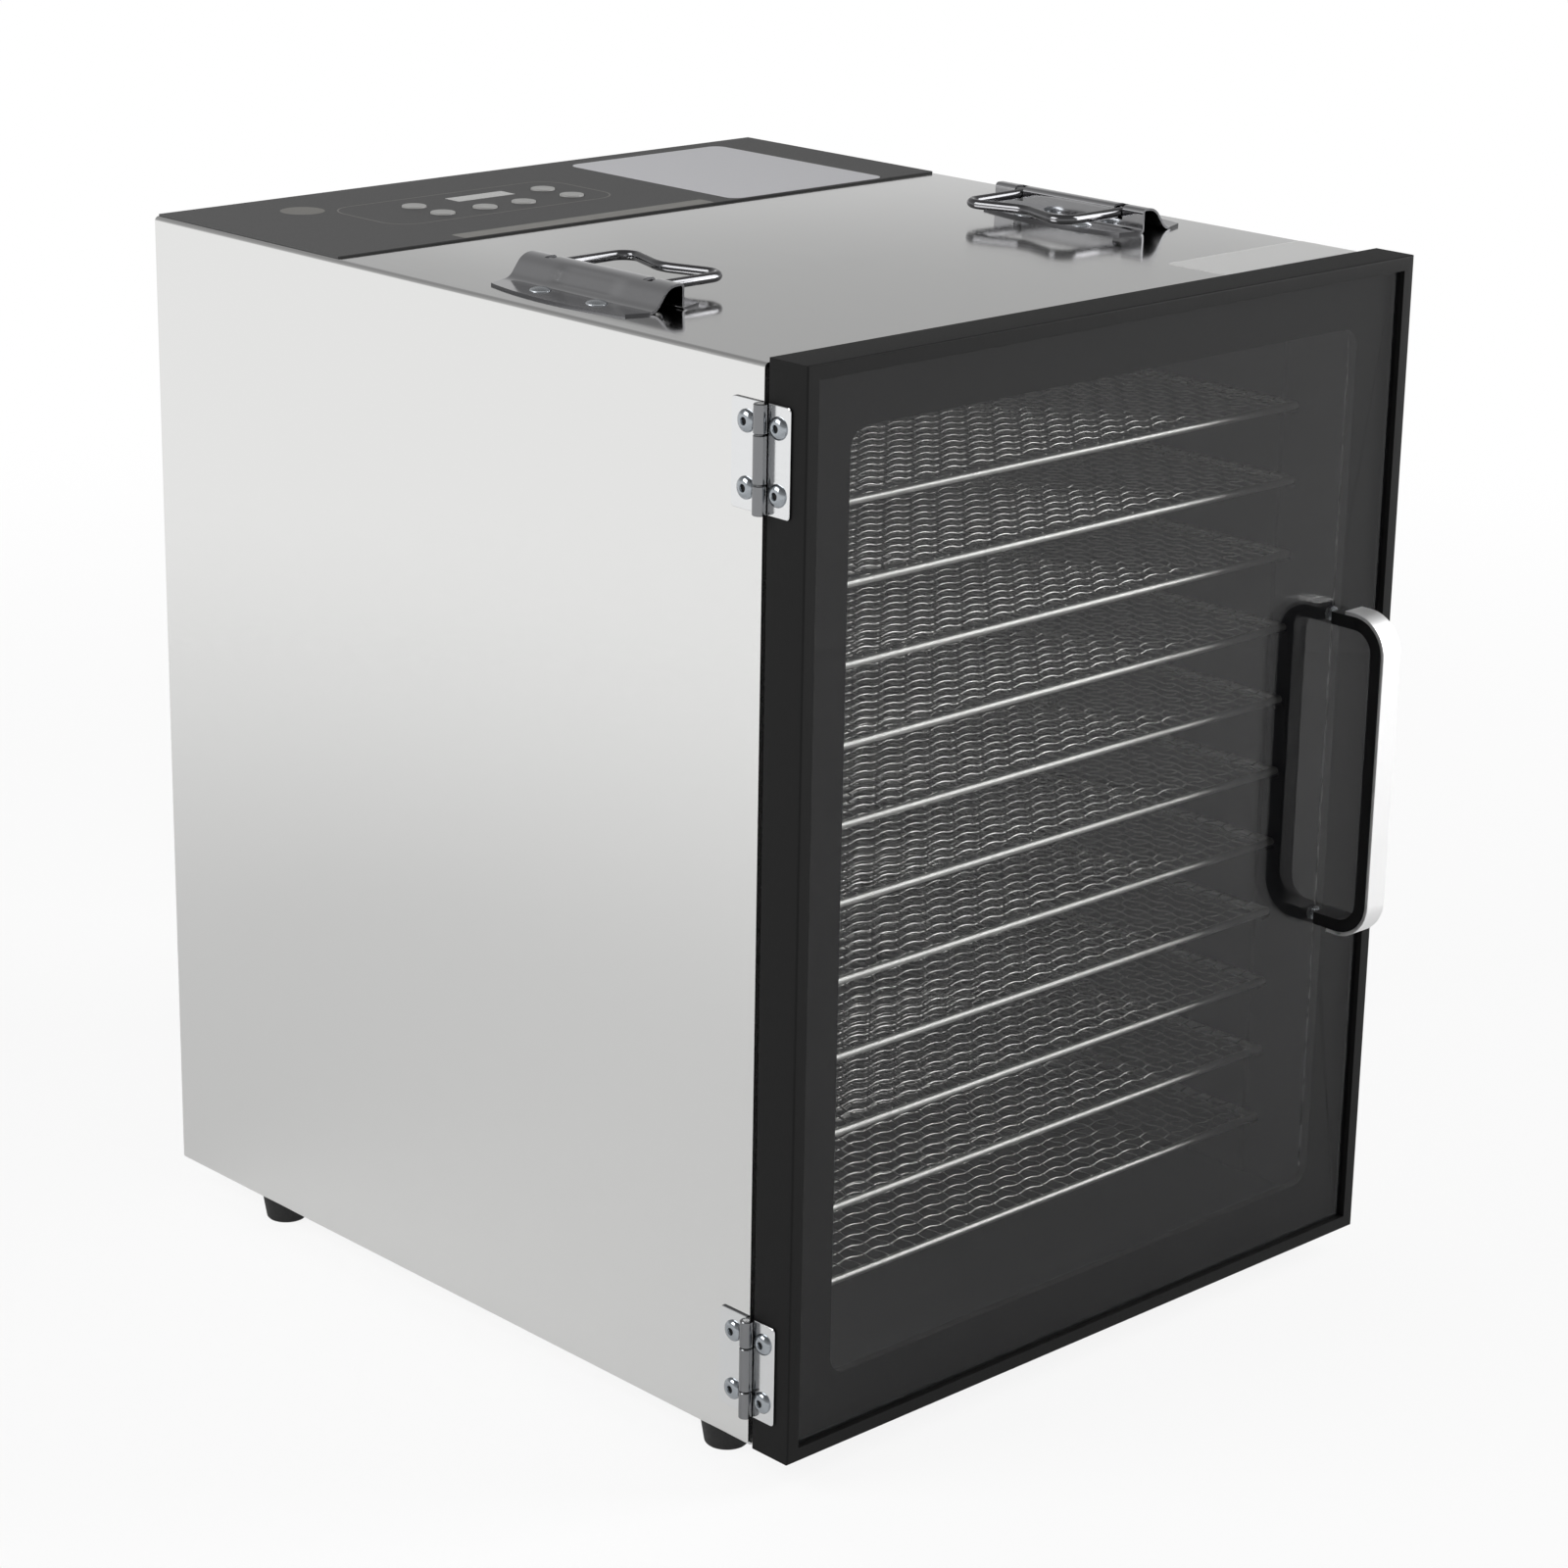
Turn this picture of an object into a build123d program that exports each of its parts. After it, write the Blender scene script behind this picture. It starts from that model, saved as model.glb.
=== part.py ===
from build123d import *
import os
from math import atan, atan2, cos, degrees, radians, sin, sqrt

os.makedirs("parts", exist_ok=True)

# Food dehydrator: a stainless steel cabinet with a hinged glass door, twelve wire trays on side
# racks, a fan and a heating ring behind a baffle, and two folding carry handles on the top.
# All sizes are in millimetres. X runs to the right, the door faces -Y and Z points up.

# Overall sizes
cabinet_width = 415.0
cabinet_depth = 455.0
cabinet_height = 520.0
foot_height = 15.0
door_thickness = 24.0
door_gap = 3.0
door_rise = 3.0

# Sheet steel and clearances
sheet = 1.0
bend_radius = 2.5
play = 0.3
running_fit = 0.05

# Flats that stand for the round outline of small pieces
wire_flats = 8
rivet_flats = 12
round_flats = 24
bend_runs = 4
ring_runs = 24
upright_angle = 90.0

# Casing and its panels
casing_flange = 48.0
rear_flange = 12.0
vent_columns = 3
vent_rows = 7
vent_length = 44.0
vent_width = 4.0
vent_pitch_x = 54.0
vent_pitch_z = 9.0
vent_rise = 150.0

# Drying chamber
side_space = 11.0
roof_space = 12.0
floor_space = 11.0
plenum_depth = 150.0

# Trays and racks
tray_count = 12
first_tray_drop = 27.0
last_tray_rise = 36.0
tray_set_back = 27.0
tray_back_gap = 7.0
tray_side_play = 0.8
rim_wire = 4.0
rim_side = 3.0
mesh_thickness = 1.6
mesh_sink = 0.8
mesh_columns = 5
mesh_rows = 3
mesh_web = 5.0
post_thickness = 3.0
post_width = 12.0
post_inset = 18.0
runner_width = 7.0
runner_thickness = 1.5

# Fan, heater and sensor
fan_opening = 170.0
guard_margin = 10.0
guard_slot_count = 9
guard_bar = 5.0
guard_outer_slot = 18.0
guard_hub = 22.0
return_slot_count = 6
return_slot_width = 10.0
return_slot_height = 46.0
return_slot_inset = 22.0
impeller_gap = 9.0
hub_diameter = 36.0
hub_length = 22.0
blade_count = 5
blade_tip_radius = 72.0
blade_root_chord = 24.0
blade_tip_chord = 34.0
blade_thickness = 2.0
blade_pitch = 36.0
shaft_diameter = 6.0
shaft_in_motor = 30.0
motor_diameter = 64.0
motor_length = 46.0
motor_boss_diameter = 18.0
motor_boss_length = 6.0
bracket_sheet = 1.5
bracket_depth = 50.0
bracket_span = 212.0
bracket_foot = 18.0
bracket_height = 70.0
heater_tube = 6.5
heater_radius = 93.0
heater_sweep = 310.0
heater_lead = 30.0
heater_stand_off = 20.0
clip_sheet = 1.2
clip_width = 12.0
clip_play = 0.9
clip_angles = (30.0, 90.0, 150.0)
sensor_diameter = 5.0
sensor_length = 18.0
sensor_flange = 12.0
sensor_flange_thickness = 3.0
sensor_offset = 100.0
sensor_drop = 12.0

# Control panel on the top, places counted from the left side and from the rear edge
overlay_thickness = 1.0
overlay_depth = 149.5
key_columns = (118.0, 146.0, 172.0, 205.0)
key_row_rear = 63.0
key_row_front = 86.7
key_diameter = 13.0
key_rim = 16.0
key_rim_thickness = 1.2
key_proud = 0.8
key_travel = 0.6
key_window_margin = 1.5
display_x = 165.0
display_from_rear = 59.5
display_length = 38.0
display_width = 12.0
display_ledge = 2.0
switch_side = 6.0
switch_height = 4.0
board_thickness = 1.6
board_margin = 14.0
board_pillar = 6.0

# Feet and power inlet
foot_top_diameter = 26.0
foot_bottom_diameter = 22.0
foot_from_side = 16.0
foot_from_front = 32.0
foot_from_rear = 72.0
inlet_width = 27.0
inlet_height = 20.0
inlet_rim = 2.5
inlet_rim_margin = 2.0
inlet_depth = 20.0
inlet_wall = 2.2
inlet_cavity = 15.0
inlet_from_right = 70.0
inlet_rise = 60.0
inlet_pin_width = 2.0
inlet_pin_height = 4.0
inlet_pin_spacing = 7.0
inlet_pin_length = 12.0

# Hinges
hinge_height = 50.0
hinge_inset = 42.0
hinge_offset = 3.6
knuckle_diameter = 6.4
middle_knuckle = 22.0
leaf_thickness = 1.2
cabinet_leaf_reach = 19.5
door_leaf_reach = 15.0
pin_diameter = 3.2
rivet_head = 9.0
rivet_crown = 5.6
rivet_height = 2.3
hinge_rivet_spacing = 30.0

# Door
frame_lip = 7.0
frame_wall = 14.0
glass_recess = 2.6
glass_thickness = 4.0
glass_play = 0.3
frame_web = 4.5
window_margin = 33.0
window_radius = 10.0
frame_edge = 1.0
gasket_inset = 3.0
gasket_width = 4.5
strike_width = 4.0
strike_gap = 1.0
strike_height = 30.0
strike_thickness = 1.8
magnet_width = 8.0
magnet_depth = 6.0
grip_width = 13.5
grip_thickness = 6.5
grip_trim = 2.0
grip_projection = 32.0
grip_spacing = 160.0
grip_bend = 18.0
grip_from_right = 38.5
grip_rise = 3.0
trim_start = 6.0
screw_diameter = 4.0
screw_head = 8.0
screw_head_height = 2.5
screw_depth = 11.0
screw_clearance = 0.3

# Carry handles
plate_sheet = 1.2
plate_length = 104.0
plate_end_flange = 15.0
outer_flange = 21.0
inner_flange = 20.0
inner_end_flange = 14.0
channel_slope = 8.5
channel_height = 11.3
crest_reach = 4.5
foot_curve = 6.0
crest_curve = 5.0
wall_curve = 1.0
wall_foot_curve = 2.0
plate_from_side = 46.0
plate_from_front = 160.0
bail_wire = 5.0
bail_spacing = 70.0
bail_reach = 48.0
bail_dip = 12.0
bail_corner = 8.0
bail_bend = 22.0
bail_trunnion = 22.0
arm_play = 0.4
handle_rivet_spacing = 40.0
outer_rivet_inset = 13.0
inner_rivet_inset = 8.0
recess_length = 46.0
recess_width = 5.5
recess_depth = 0.5

# Places worked out from the sizes above, with the box of the whole object centred on the origin
knuckle_radius = knuckle_diameter / 2
hinge_reach = hinge_offset + knuckle_radius
front_reach = door_gap + door_thickness + grip_projection
left = (hinge_reach - cabinet_width) / 2
right = left + cabinet_width
front = (front_reach - cabinet_depth - inlet_rim) / 2
back = front + cabinet_depth
bottom = foot_height
top = bottom + cabinet_height
centre_x = (left + right) / 2
centre_y = (front + back) / 2

panel_bottom = bottom + 2 * sheet
panel_top = top - sheet
panel_width = cabinet_width - 2 * sheet
panel_height = panel_top - panel_bottom
panel_centre = (centre_x, (panel_bottom + panel_top) / 2)

chamber_left = left + 2 * sheet + side_space
chamber_right = right - 2 * sheet - side_space
chamber_floor = panel_bottom + floor_space + sheet
chamber_ceiling = panel_top - roof_space - sheet
chamber_width = chamber_right - chamber_left
chamber_height = chamber_ceiling - chamber_floor
chamber_centre = (centre_x, (chamber_floor + chamber_ceiling) / 2)
chamber_front = front + sheet
chamber_back = back - plenum_depth
baffle_rear = chamber_back + sheet

door_back = front - door_gap
door_front = door_back - door_thickness
door_top = top + door_rise
door_height = door_top - bottom
door_centre = (centre_x, (bottom + door_top) / 2)


def facing_front(y):
    """Upright plane at depth y: local x is X, local y is Z, and extrusions go to the front."""
    return Plane.XZ.offset(-y)


def facing_right(x):
    """Upright plane at width x: local x is Y, local y is Z, and extrusions go to the right."""
    return Plane.YZ.offset(x)


def folded_section(*points, radius, thickness, side):
    """Section of a sheet folded along the points, on one side of them."""
    with BuildSketch() as section:
        with BuildLine():
            FilletPolyline(*points, radius=radius)
            offset(amount=thickness, side=side)
        make_face()
    return section.sketch


def straight_runs(path, arc_runs):
    """Polyline along a path of lines and arcs, with every arc divided into straight runs."""
    points = [path @ 0]
    for edge in path.order_edges():
        runs = arc_runs if edge.geom_type == GeomType.CIRCLE else 1
        points += [edge @ ((step + 1) / runs) for step in range(runs)]
    return Polyline(*points)


# Outer casing: one folded sheet with flanges for the feet below and a screw flange round the rear
casing_section = folded_section(
    (left + casing_flange, bottom),
    (left, bottom),
    (left, top),
    (right, top),
    (right, bottom),
    (right - casing_flange, bottom),
    radius=bend_radius,
    thickness=sheet,
    side=Side.RIGHT,
)
with BuildPart() as outer_casing:
    with BuildSketch(facing_front(back)):
        add(casing_section)
    extrude(amount=cabinet_depth)
    with BuildSketch(facing_front(back - sheet)):
        with Locations((centre_x, (bottom + top) / 2)):
            RectangleRounded(cabinet_width - sheet, cabinet_height - sheet, bend_radius - sheet / 2)
            Rectangle(
                panel_width - 2 * rear_flange,
                cabinet_height - 2 * (sheet + rear_flange),
                mode=Mode.SUBTRACT,
            )
    extrude(amount=sheet)
    # Openings under the keys and the display
    key_window = key_rim + 2 * key_window_margin
    with BuildSketch(Plane.XY.offset(top)):
        with Locations((left + (key_columns[0] + key_columns[-1]) / 2, back - key_row_front)):
            Rectangle(key_columns[-1] - key_columns[0] + key_window, key_window)
        with Locations(
            (left + key_columns[0], back - key_row_rear),
            (left + key_columns[-1], back - key_row_rear),
        ):
            Rectangle(key_window, key_window)
        with Locations((left + display_x, back - display_from_rear)):
            Rectangle(display_length - 2 * display_ledge, display_width - 2 * display_ledge)
    extrude(amount=-sheet, mode=Mode.SUBTRACT)
outer_casing.part.label = "outer_casing"
export_step(outer_casing.part, "parts/outer_casing.step")

# Base panel lies on the casing's bottom flanges
base_depth = cabinet_depth - 2 * sheet
with BuildPart() as base_panel:
    with BuildSketch(Plane.XY.offset(bottom + sheet)):
        with Locations((centre_x, front + base_depth / 2)):
            Rectangle(cabinet_width - 2 * bend_radius, base_depth)
    extrude(amount=sheet)
base_panel.part.label = "base_panel"
export_step(base_panel.part, "parts/base_panel.step")

# Rear panel with rows of vent slots and the cut-out for the power inlet
inlet_place = (right - inlet_from_right, bottom + inlet_rise)
rear_panel_height = panel_top - bottom - sheet
with BuildPart() as rear_panel:
    with BuildSketch(facing_front(back)):
        with Locations((centre_x, panel_top - rear_panel_height / 2)):
            RectangleRounded(panel_width, rear_panel_height, bend_radius)
        with Locations((centre_x, top - vent_rise)):
            with GridLocations(vent_pitch_x, vent_pitch_z, vent_columns, vent_rows):
                Rectangle(vent_length, vent_width, mode=Mode.SUBTRACT)
        with Locations(inlet_place):
            Rectangle(inlet_width + 2 * play, inlet_height + 2 * play, mode=Mode.SUBTRACT)
    extrude(amount=sheet)
rear_panel.part.label = "rear_panel"
export_step(rear_panel.part, "parts/rear_panel.step")

# Front frame closes the space between casing and chamber behind the door
with BuildPart() as front_frame:
    with BuildSketch(facing_front(chamber_front)):
        with Locations(panel_centre):
            RectangleRounded(panel_width, panel_height, bend_radius)
        with Locations(chamber_centre):
            Rectangle(chamber_width, chamber_height, mode=Mode.SUBTRACT)
    extrude(amount=sheet)
front_frame.part.label = "front_frame"
export_step(front_frame.part, "parts/front_frame.step")

# Chamber liner: four walls, open to the front and closed by the baffle behind
with BuildPart() as chamber_liner:
    with BuildSketch(facing_front(chamber_back)):
        with Locations(chamber_centre):
            Rectangle(chamber_width + 2 * sheet, chamber_height + 2 * sheet)
            Rectangle(chamber_width, chamber_height, mode=Mode.SUBTRACT)
    extrude(amount=chamber_back - chamber_front)
chamber_liner.part.label = "chamber_liner"
export_step(chamber_liner.part, "parts/chamber_liner.step")

# Air baffle: round opening for the fan and a column of return slots on each side
sensor_place = (centre_x + sensor_offset, chamber_ceiling - sensor_drop)
with BuildPart() as air_baffle:
    with BuildSketch(facing_front(baffle_rear)):
        with Locations(panel_centre):
            RectangleRounded(panel_width, panel_height, bend_radius)
        with Locations(chamber_centre):
            Circle(fan_opening / 2, mode=Mode.SUBTRACT)
            with GridLocations(
                chamber_width - 2 * return_slot_inset, chamber_height / (return_slot_count + 1), 2, return_slot_count
            ):
                Rectangle(return_slot_width, return_slot_height, mode=Mode.SUBTRACT)
        with Locations(sensor_place):
            RegularPolygon(sensor_diameter / 2 + play, rivet_flats, mode=Mode.SUBTRACT)
    extrude(amount=sheet)
air_baffle.part.label = "air_baffle"
export_step(air_baffle.part, "parts/air_baffle.step")

# Fan guard: pressed disc with two rings of slots on the chamber side of the baffle
guard_radius = fan_opening / 2 + guard_margin
guard_reach = fan_opening / 2 - guard_bar
guard_slot = (guard_reach - guard_hub - guard_bar) / 2
with BuildPart() as fan_guard:
    with BuildSketch(facing_front(chamber_back)):
        with Locations(chamber_centre):
            Circle(guard_radius)
            with PolarLocations(guard_hub + guard_slot / 2, guard_slot_count):
                Rectangle(guard_slot, guard_bar, mode=Mode.SUBTRACT)
            with PolarLocations(guard_reach - guard_slot / 2, guard_slot_count):
                Rectangle(guard_slot, guard_outer_slot, mode=Mode.SUBTRACT)
    extrude(amount=sheet)
fan_guard.part.label = "fan_guard"
export_step(fan_guard.part, "parts/fan_guard.step")

# Racks: two posts on each chamber wall carry one runner for each tray
tray_pitch = (chamber_height - first_tray_drop - last_tray_rise) / (tray_count - 1)
tray_levels = [chamber_ceiling - first_tray_drop - i * tray_pitch for i in range(tray_count)]
tray_front = front + tray_set_back
tray_back = chamber_back - tray_back_gap
tray_depth = tray_back - tray_front
tray_width = chamber_width - 2 * (post_thickness + tray_side_play)
runner_drop = rim_wire / 2 + play
runner_length = tray_depth + tray_back_gap - play
post_places = (tray_front + post_inset, tray_back - post_inset)


def build_rack(wall, inward):
    """Ladder rack standing on the chamber floor against one wall."""
    with BuildPart() as rack:
        with BuildSketch(Plane.XY.offset(chamber_floor)):
            with Locations(*[(wall + inward * post_thickness / 2, y) for y in post_places]):
                Rectangle(post_thickness, post_width)
        extrude(amount=chamber_height)
        runner_x = wall + inward * (post_thickness + runner_width / 2)
        for level in tray_levels:
            with BuildSketch(Plane.XY.offset(level - runner_drop)):
                with Locations((runner_x, tray_front + runner_length / 2)):
                    Rectangle(runner_width, runner_length)
            extrude(amount=-runner_thickness)
    return rack


left_rack = build_rack(chamber_left, 1)
left_rack.part.label = "left_rack"
export_step(left_rack.part, "parts/left_rack.step")

right_rack = build_rack(chamber_right, -1)
right_rack.part.label = "right_rack"
export_step(right_rack.part, "parts/right_rack.step")

# Trays: round bars front and rear, flat bars at the sides and a welded mesh on top
mesh_pitch_x = (tray_width - mesh_web) / mesh_columns
mesh_pitch_y = (tray_depth - mesh_web) / mesh_rows
with BuildPart() as tray:
    with BuildSketch(Plane.YZ.offset(centre_x - tray_width / 2)):
        with Locations((tray_front + rim_wire / 2, 0), (tray_back - rim_wire / 2, 0)):
            RegularPolygon(rim_wire / 2, wire_flats)
    extrude(amount=tray_width)
    with BuildSketch(Plane.XY.offset(-rim_wire / 2)):
        with Locations((centre_x, (tray_front + tray_back) / 2)):
            with GridLocations(tray_width - rim_side, 0, 2, 1):
                Rectangle(rim_side, tray_depth - rim_wire)
    extrude(amount=rim_wire)
    with BuildSketch(Plane.XY.offset(rim_wire / 2 - mesh_sink)):
        with Locations((centre_x, (tray_front + tray_back) / 2)):
            Rectangle(tray_width, tray_depth - rim_wire / 2)
            with GridLocations(mesh_pitch_x, mesh_pitch_y, mesh_columns, mesh_rows):
                Rectangle(mesh_pitch_x - mesh_web, mesh_pitch_y - mesh_web, mode=Mode.SUBTRACT)
    extrude(amount=mesh_thickness)

for number, level in enumerate(tray_levels, start=1):
    with BuildPart() as placed_tray:
        with Locations((0, 0, level)):
            add(tray.part)
    placed_tray.part.label = f"tray_{number:02d}"
    export_step(placed_tray.part, f"parts/tray_{number:02d}.step")

# Motor bracket: hat-shaped strap over the fan, its feet on the rear of the baffle
fan_x, fan_z = chamber_centre
bridge = baffle_rear + bracket_depth
with BuildPart() as motor_bracket:
    with BuildSketch(Plane.XY.offset(fan_z - bracket_height / 2)):
        with Locations((fan_x, baffle_rear + bracket_sheet / 2)):
            Rectangle(bracket_span + 2 * bracket_foot, bracket_sheet)
        with Locations((fan_x, (baffle_rear + bridge + bracket_sheet) / 2)):
            Rectangle(bracket_span + 2 * bracket_sheet, bracket_depth + bracket_sheet)
        with Locations((fan_x, (baffle_rear + bridge) / 2)):
            Rectangle(bracket_span, bracket_depth, mode=Mode.SUBTRACT)
    extrude(amount=bracket_height)
    with BuildSketch(facing_front(bridge + bracket_sheet)):
        with Locations(chamber_centre):
            Circle(motor_boss_diameter / 2 + play)
    extrude(amount=bracket_sheet, mode=Mode.SUBTRACT)
motor_bracket.part.label = "motor_bracket"
export_step(motor_bracket.part, "parts/motor_bracket.step")

# Fan motor: round can behind the bracket, with a bearing boss through it
motor_face = bridge + bracket_sheet
boss_front = motor_face - motor_boss_length
with BuildPart() as fan_motor:
    with BuildSketch(facing_front(motor_face + motor_length)):
        with Locations(chamber_centre):
            RegularPolygon(motor_diameter / 2, round_flats)
    extrude(amount=motor_length)
    with BuildSketch(facing_front(motor_face)):
        with Locations(chamber_centre):
            Circle(motor_boss_diameter / 2)
    extrude(amount=motor_boss_length)
    with BuildSketch(facing_front(motor_face + shaft_in_motor)):
        with Locations(chamber_centre):
            Circle(shaft_diameter / 2 + running_fit)
    extrude(amount=shaft_in_motor + motor_boss_length, mode=Mode.SUBTRACT)
fan_motor.part.label = "fan_motor"
export_step(fan_motor.part, "parts/fan_motor.step")

# Fan shaft runs from the motor into the impeller's hub
hub_front = baffle_rear + impeller_gap
with BuildPart() as fan_shaft:
    with BuildSketch(facing_front(motor_face + shaft_in_motor - play)):
        with Locations(chamber_centre):
            Circle(shaft_diameter / 2)
    extrude(amount=motor_face + shaft_in_motor - play - hub_front)
fan_shaft.part.label = "fan_shaft"
export_step(fan_shaft.part, "parts/fan_shaft.step")

# Impeller: hub with flat pitched blades that widen from root to tip
fan_centre = Vector(fan_x, hub_front + hub_length / 2, fan_z)
fan_axis = Vector(0, 1, 0)
blade_root_radius = hub_diameter / 2 - blade_thickness


def blade_plane(angle):
    """Middle plane of a blade: local x along its pitched chord, local y outwards from the hub."""
    radial = Vector(cos(radians(angle)), 0, sin(radians(angle)))
    tangent = Vector(-sin(radians(angle)), 0, cos(radians(angle)))
    chord = tangent * cos(radians(blade_pitch)) + fan_axis * sin(radians(blade_pitch))
    return Plane(origin=fan_centre, x_dir=chord, z_dir=chord.cross(radial))


with BuildPart() as fan_impeller:
    with BuildSketch(facing_front(hub_front + hub_length)):
        with Locations(chamber_centre):
            Circle(hub_diameter / 2)
    extrude(amount=hub_length)
    for number in range(blade_count):
        with BuildSketch(blade_plane(upright_angle + number * 360 / blade_count)):
            Polygon(
                (-blade_root_chord / 2, blade_root_radius),
                (blade_root_chord / 2, blade_root_radius),
                (blade_tip_chord / 2, blade_tip_radius),
                (-blade_tip_chord / 2, blade_tip_radius),
                align=None,
            )
        extrude(amount=blade_thickness / 2, both=True)
    with BuildSketch(facing_front(hub_front + hub_length)):
        with Locations(chamber_centre):
            Circle(shaft_diameter / 2 + running_fit)
    extrude(amount=hub_length, mode=Mode.SUBTRACT)
fan_impeller.part.label = "fan_impeller"
export_step(fan_impeller.part, "parts/fan_impeller.step")

# Heating ring round the impeller, with both leads turned to the rear
heater_y = baffle_rear + heater_stand_off
heater_start = upright_angle - heater_sweep / 2
heater_ends = [
    (fan_x + heater_radius * cos(radians(angle)), fan_z + heater_radius * sin(radians(angle)))
    for angle in (heater_start, heater_start + heater_sweep)
]
with BuildLine(facing_front(heater_y)) as heater_ring:
    CenterArc((fan_x, fan_z), heater_radius, heater_start, heater_sweep)
heater_path = straight_runs(heater_ring.wire(), ring_runs)
with BuildPart() as heater_element:
    with BuildSketch(Plane(origin=heater_path @ 0, z_dir=heater_path % 0)):
        RegularPolygon(heater_tube / 2, wire_flats)
    sweep(path=heater_path, transition=Transition.RIGHT)
    with BuildSketch(facing_front(heater_y + heater_lead)):
        with Locations(*heater_ends):
            RegularPolygon(heater_tube / 2, wire_flats)
    extrude(amount=heater_lead + heater_tube / 2)
heater_element.part.label = "heater_element"
export_step(heater_element.part, "parts/heater_element.step")

# Heater clips: upright tabs on the baffle, each with a notch for the tube
clip_depth = heater_stand_off + heater_tube / 2
with BuildPart() as heater_clips:
    for angle in clip_angles:
        radial = Vector(cos(radians(angle)), 0, sin(radians(angle)))
        tangent = Vector(-sin(radians(angle)), 0, cos(radians(angle)))
        clip_origin = Vector(fan_x, baffle_rear, fan_z) + radial * heater_radius
        with BuildSketch(Plane(origin=clip_origin, x_dir=radial, z_dir=tangent)):
            with Locations((0, clip_depth / 2)):
                Rectangle(clip_width, clip_depth)
            with Locations((0, clip_depth)):
                Rectangle(heater_tube + 2 * clip_play, 2 * (heater_tube + play), mode=Mode.SUBTRACT)
        extrude(amount=clip_sheet / 2, both=True)
heater_clips.part.label = "heater_clips"
export_step(heater_clips.part, "parts/heater_clips.step")

# Temperature sensor: flanged probe through the baffle into the chamber
with BuildPart() as temperature_sensor:
    with BuildSketch(facing_front(baffle_rear + sensor_flange_thickness)):
        with Locations(sensor_place):
            RegularPolygon(sensor_flange / 2, rivet_flats)
    extrude(amount=sensor_flange_thickness)
    with BuildSketch(facing_front(baffle_rear)):
        with Locations(sensor_place):
            RegularPolygon(sensor_diameter / 2, rivet_flats)
    extrude(amount=sheet + sensor_length)
temperature_sensor.part.label = "temperature_sensor"
export_step(temperature_sensor.part, "parts/temperature_sensor.step")

# Control overlay on the rear of the top, with holes for the keys and the display
key_names = {
    "rear_left_key": (key_columns[0], key_row_rear),
    "rear_right_key": (key_columns[3], key_row_rear),
    "front_key_1": (key_columns[0], key_row_front),
    "front_key_2": (key_columns[1], key_row_front),
    "front_key_3": (key_columns[2], key_row_front),
    "front_key_4": (key_columns[3], key_row_front),
}
key_places = [(left + x, back - y) for x, y in key_names.values()]
display_place = (left + display_x, back - display_from_rear)
overlay_width = cabinet_width - 2 * bend_radius
overlay_top = top + overlay_thickness
with BuildPart() as control_overlay:
    with BuildSketch(Plane.XY.offset(top)):
        with Locations((centre_x, back - overlay_depth / 2)):
            Rectangle(overlay_width, overlay_depth)
        with Locations(*key_places):
            RegularPolygon(key_diameter / 2 + play, round_flats, mode=Mode.SUBTRACT)
        with Locations(display_place):
            Rectangle(display_length + 2 * play, display_width + 2 * play, mode=Mode.SUBTRACT)
    extrude(amount=overlay_thickness)
control_overlay.part.label = "control_overlay"
export_step(control_overlay.part, "parts/control_overlay.step")

# Display lens fills its window in the overlay and rests on the casing
with BuildPart() as display_lens:
    with BuildSketch(Plane.XY.offset(top)):
        with Locations(display_place):
            Rectangle(display_length, display_width)
    extrude(amount=overlay_thickness)
display_lens.part.label = "display_lens"
export_step(display_lens.part, "parts/display_lens.step")

# Push keys: a cap through the overlay, with a wider rim that holds it in from below
key_rim_top = top - play
key_bottom = key_rim_top - key_rim_thickness
for name, place in zip(key_names, key_places):
    with BuildPart() as key:
        with BuildSketch(Plane.XY.offset(key_bottom)):
            with Locations(place):
                RegularPolygon(key_rim / 2, round_flats)
        extrude(amount=key_rim_thickness)
        with BuildSketch(Plane.XY.offset(key_rim_top)):
            with Locations(place):
                RegularPolygon(key_diameter / 2, round_flats)
        extrude(amount=overlay_top + key_proud - key_rim_top)
    key.part.label = name
    export_step(key.part, f"parts/{name}.step")

# Control board under the top: hangs on four pillars, with the display module on it
switch_top = key_bottom - key_travel - play
board_top = switch_top - switch_height
board_length = key_columns[-1] - key_columns[0] + key_window + 2 * board_margin
board_depth = key_row_front - key_row_rear + key_window + 2 * board_margin
board_centre = (
    left + (key_columns[0] + key_columns[-1]) / 2,
    back - (key_row_front + key_row_rear) / 2,
)
with BuildPart() as control_board:
    with BuildSketch(Plane.XY.offset(board_top)):
        with Locations(board_centre):
            Rectangle(board_length, board_depth)
    extrude(amount=-board_thickness)
    with BuildSketch(Plane.XY.offset(board_top)):
        with Locations(board_centre):
            with GridLocations(board_length - board_margin, board_depth - board_margin, 2, 2):
                Rectangle(board_pillar, board_pillar)
    extrude(amount=panel_top - board_top)
    with BuildSketch(Plane.XY.offset(board_top)):
        with Locations(display_place):
            Rectangle(display_length - 2 * display_ledge, display_width - 2 * display_ledge)
    extrude(amount=panel_top - play - board_top)
control_board.part.label = "control_board"
export_step(control_board.part, "parts/control_board.step")

# Key switches on the board, one below each key
with BuildPart() as key_switches:
    with BuildSketch(Plane.XY.offset(board_top)):
        with Locations(*key_places):
            Rectangle(switch_side, switch_side)
    extrude(amount=switch_height)
key_switches.part.label = "key_switches"
export_step(key_switches.part, "parts/key_switches.step")

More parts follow.
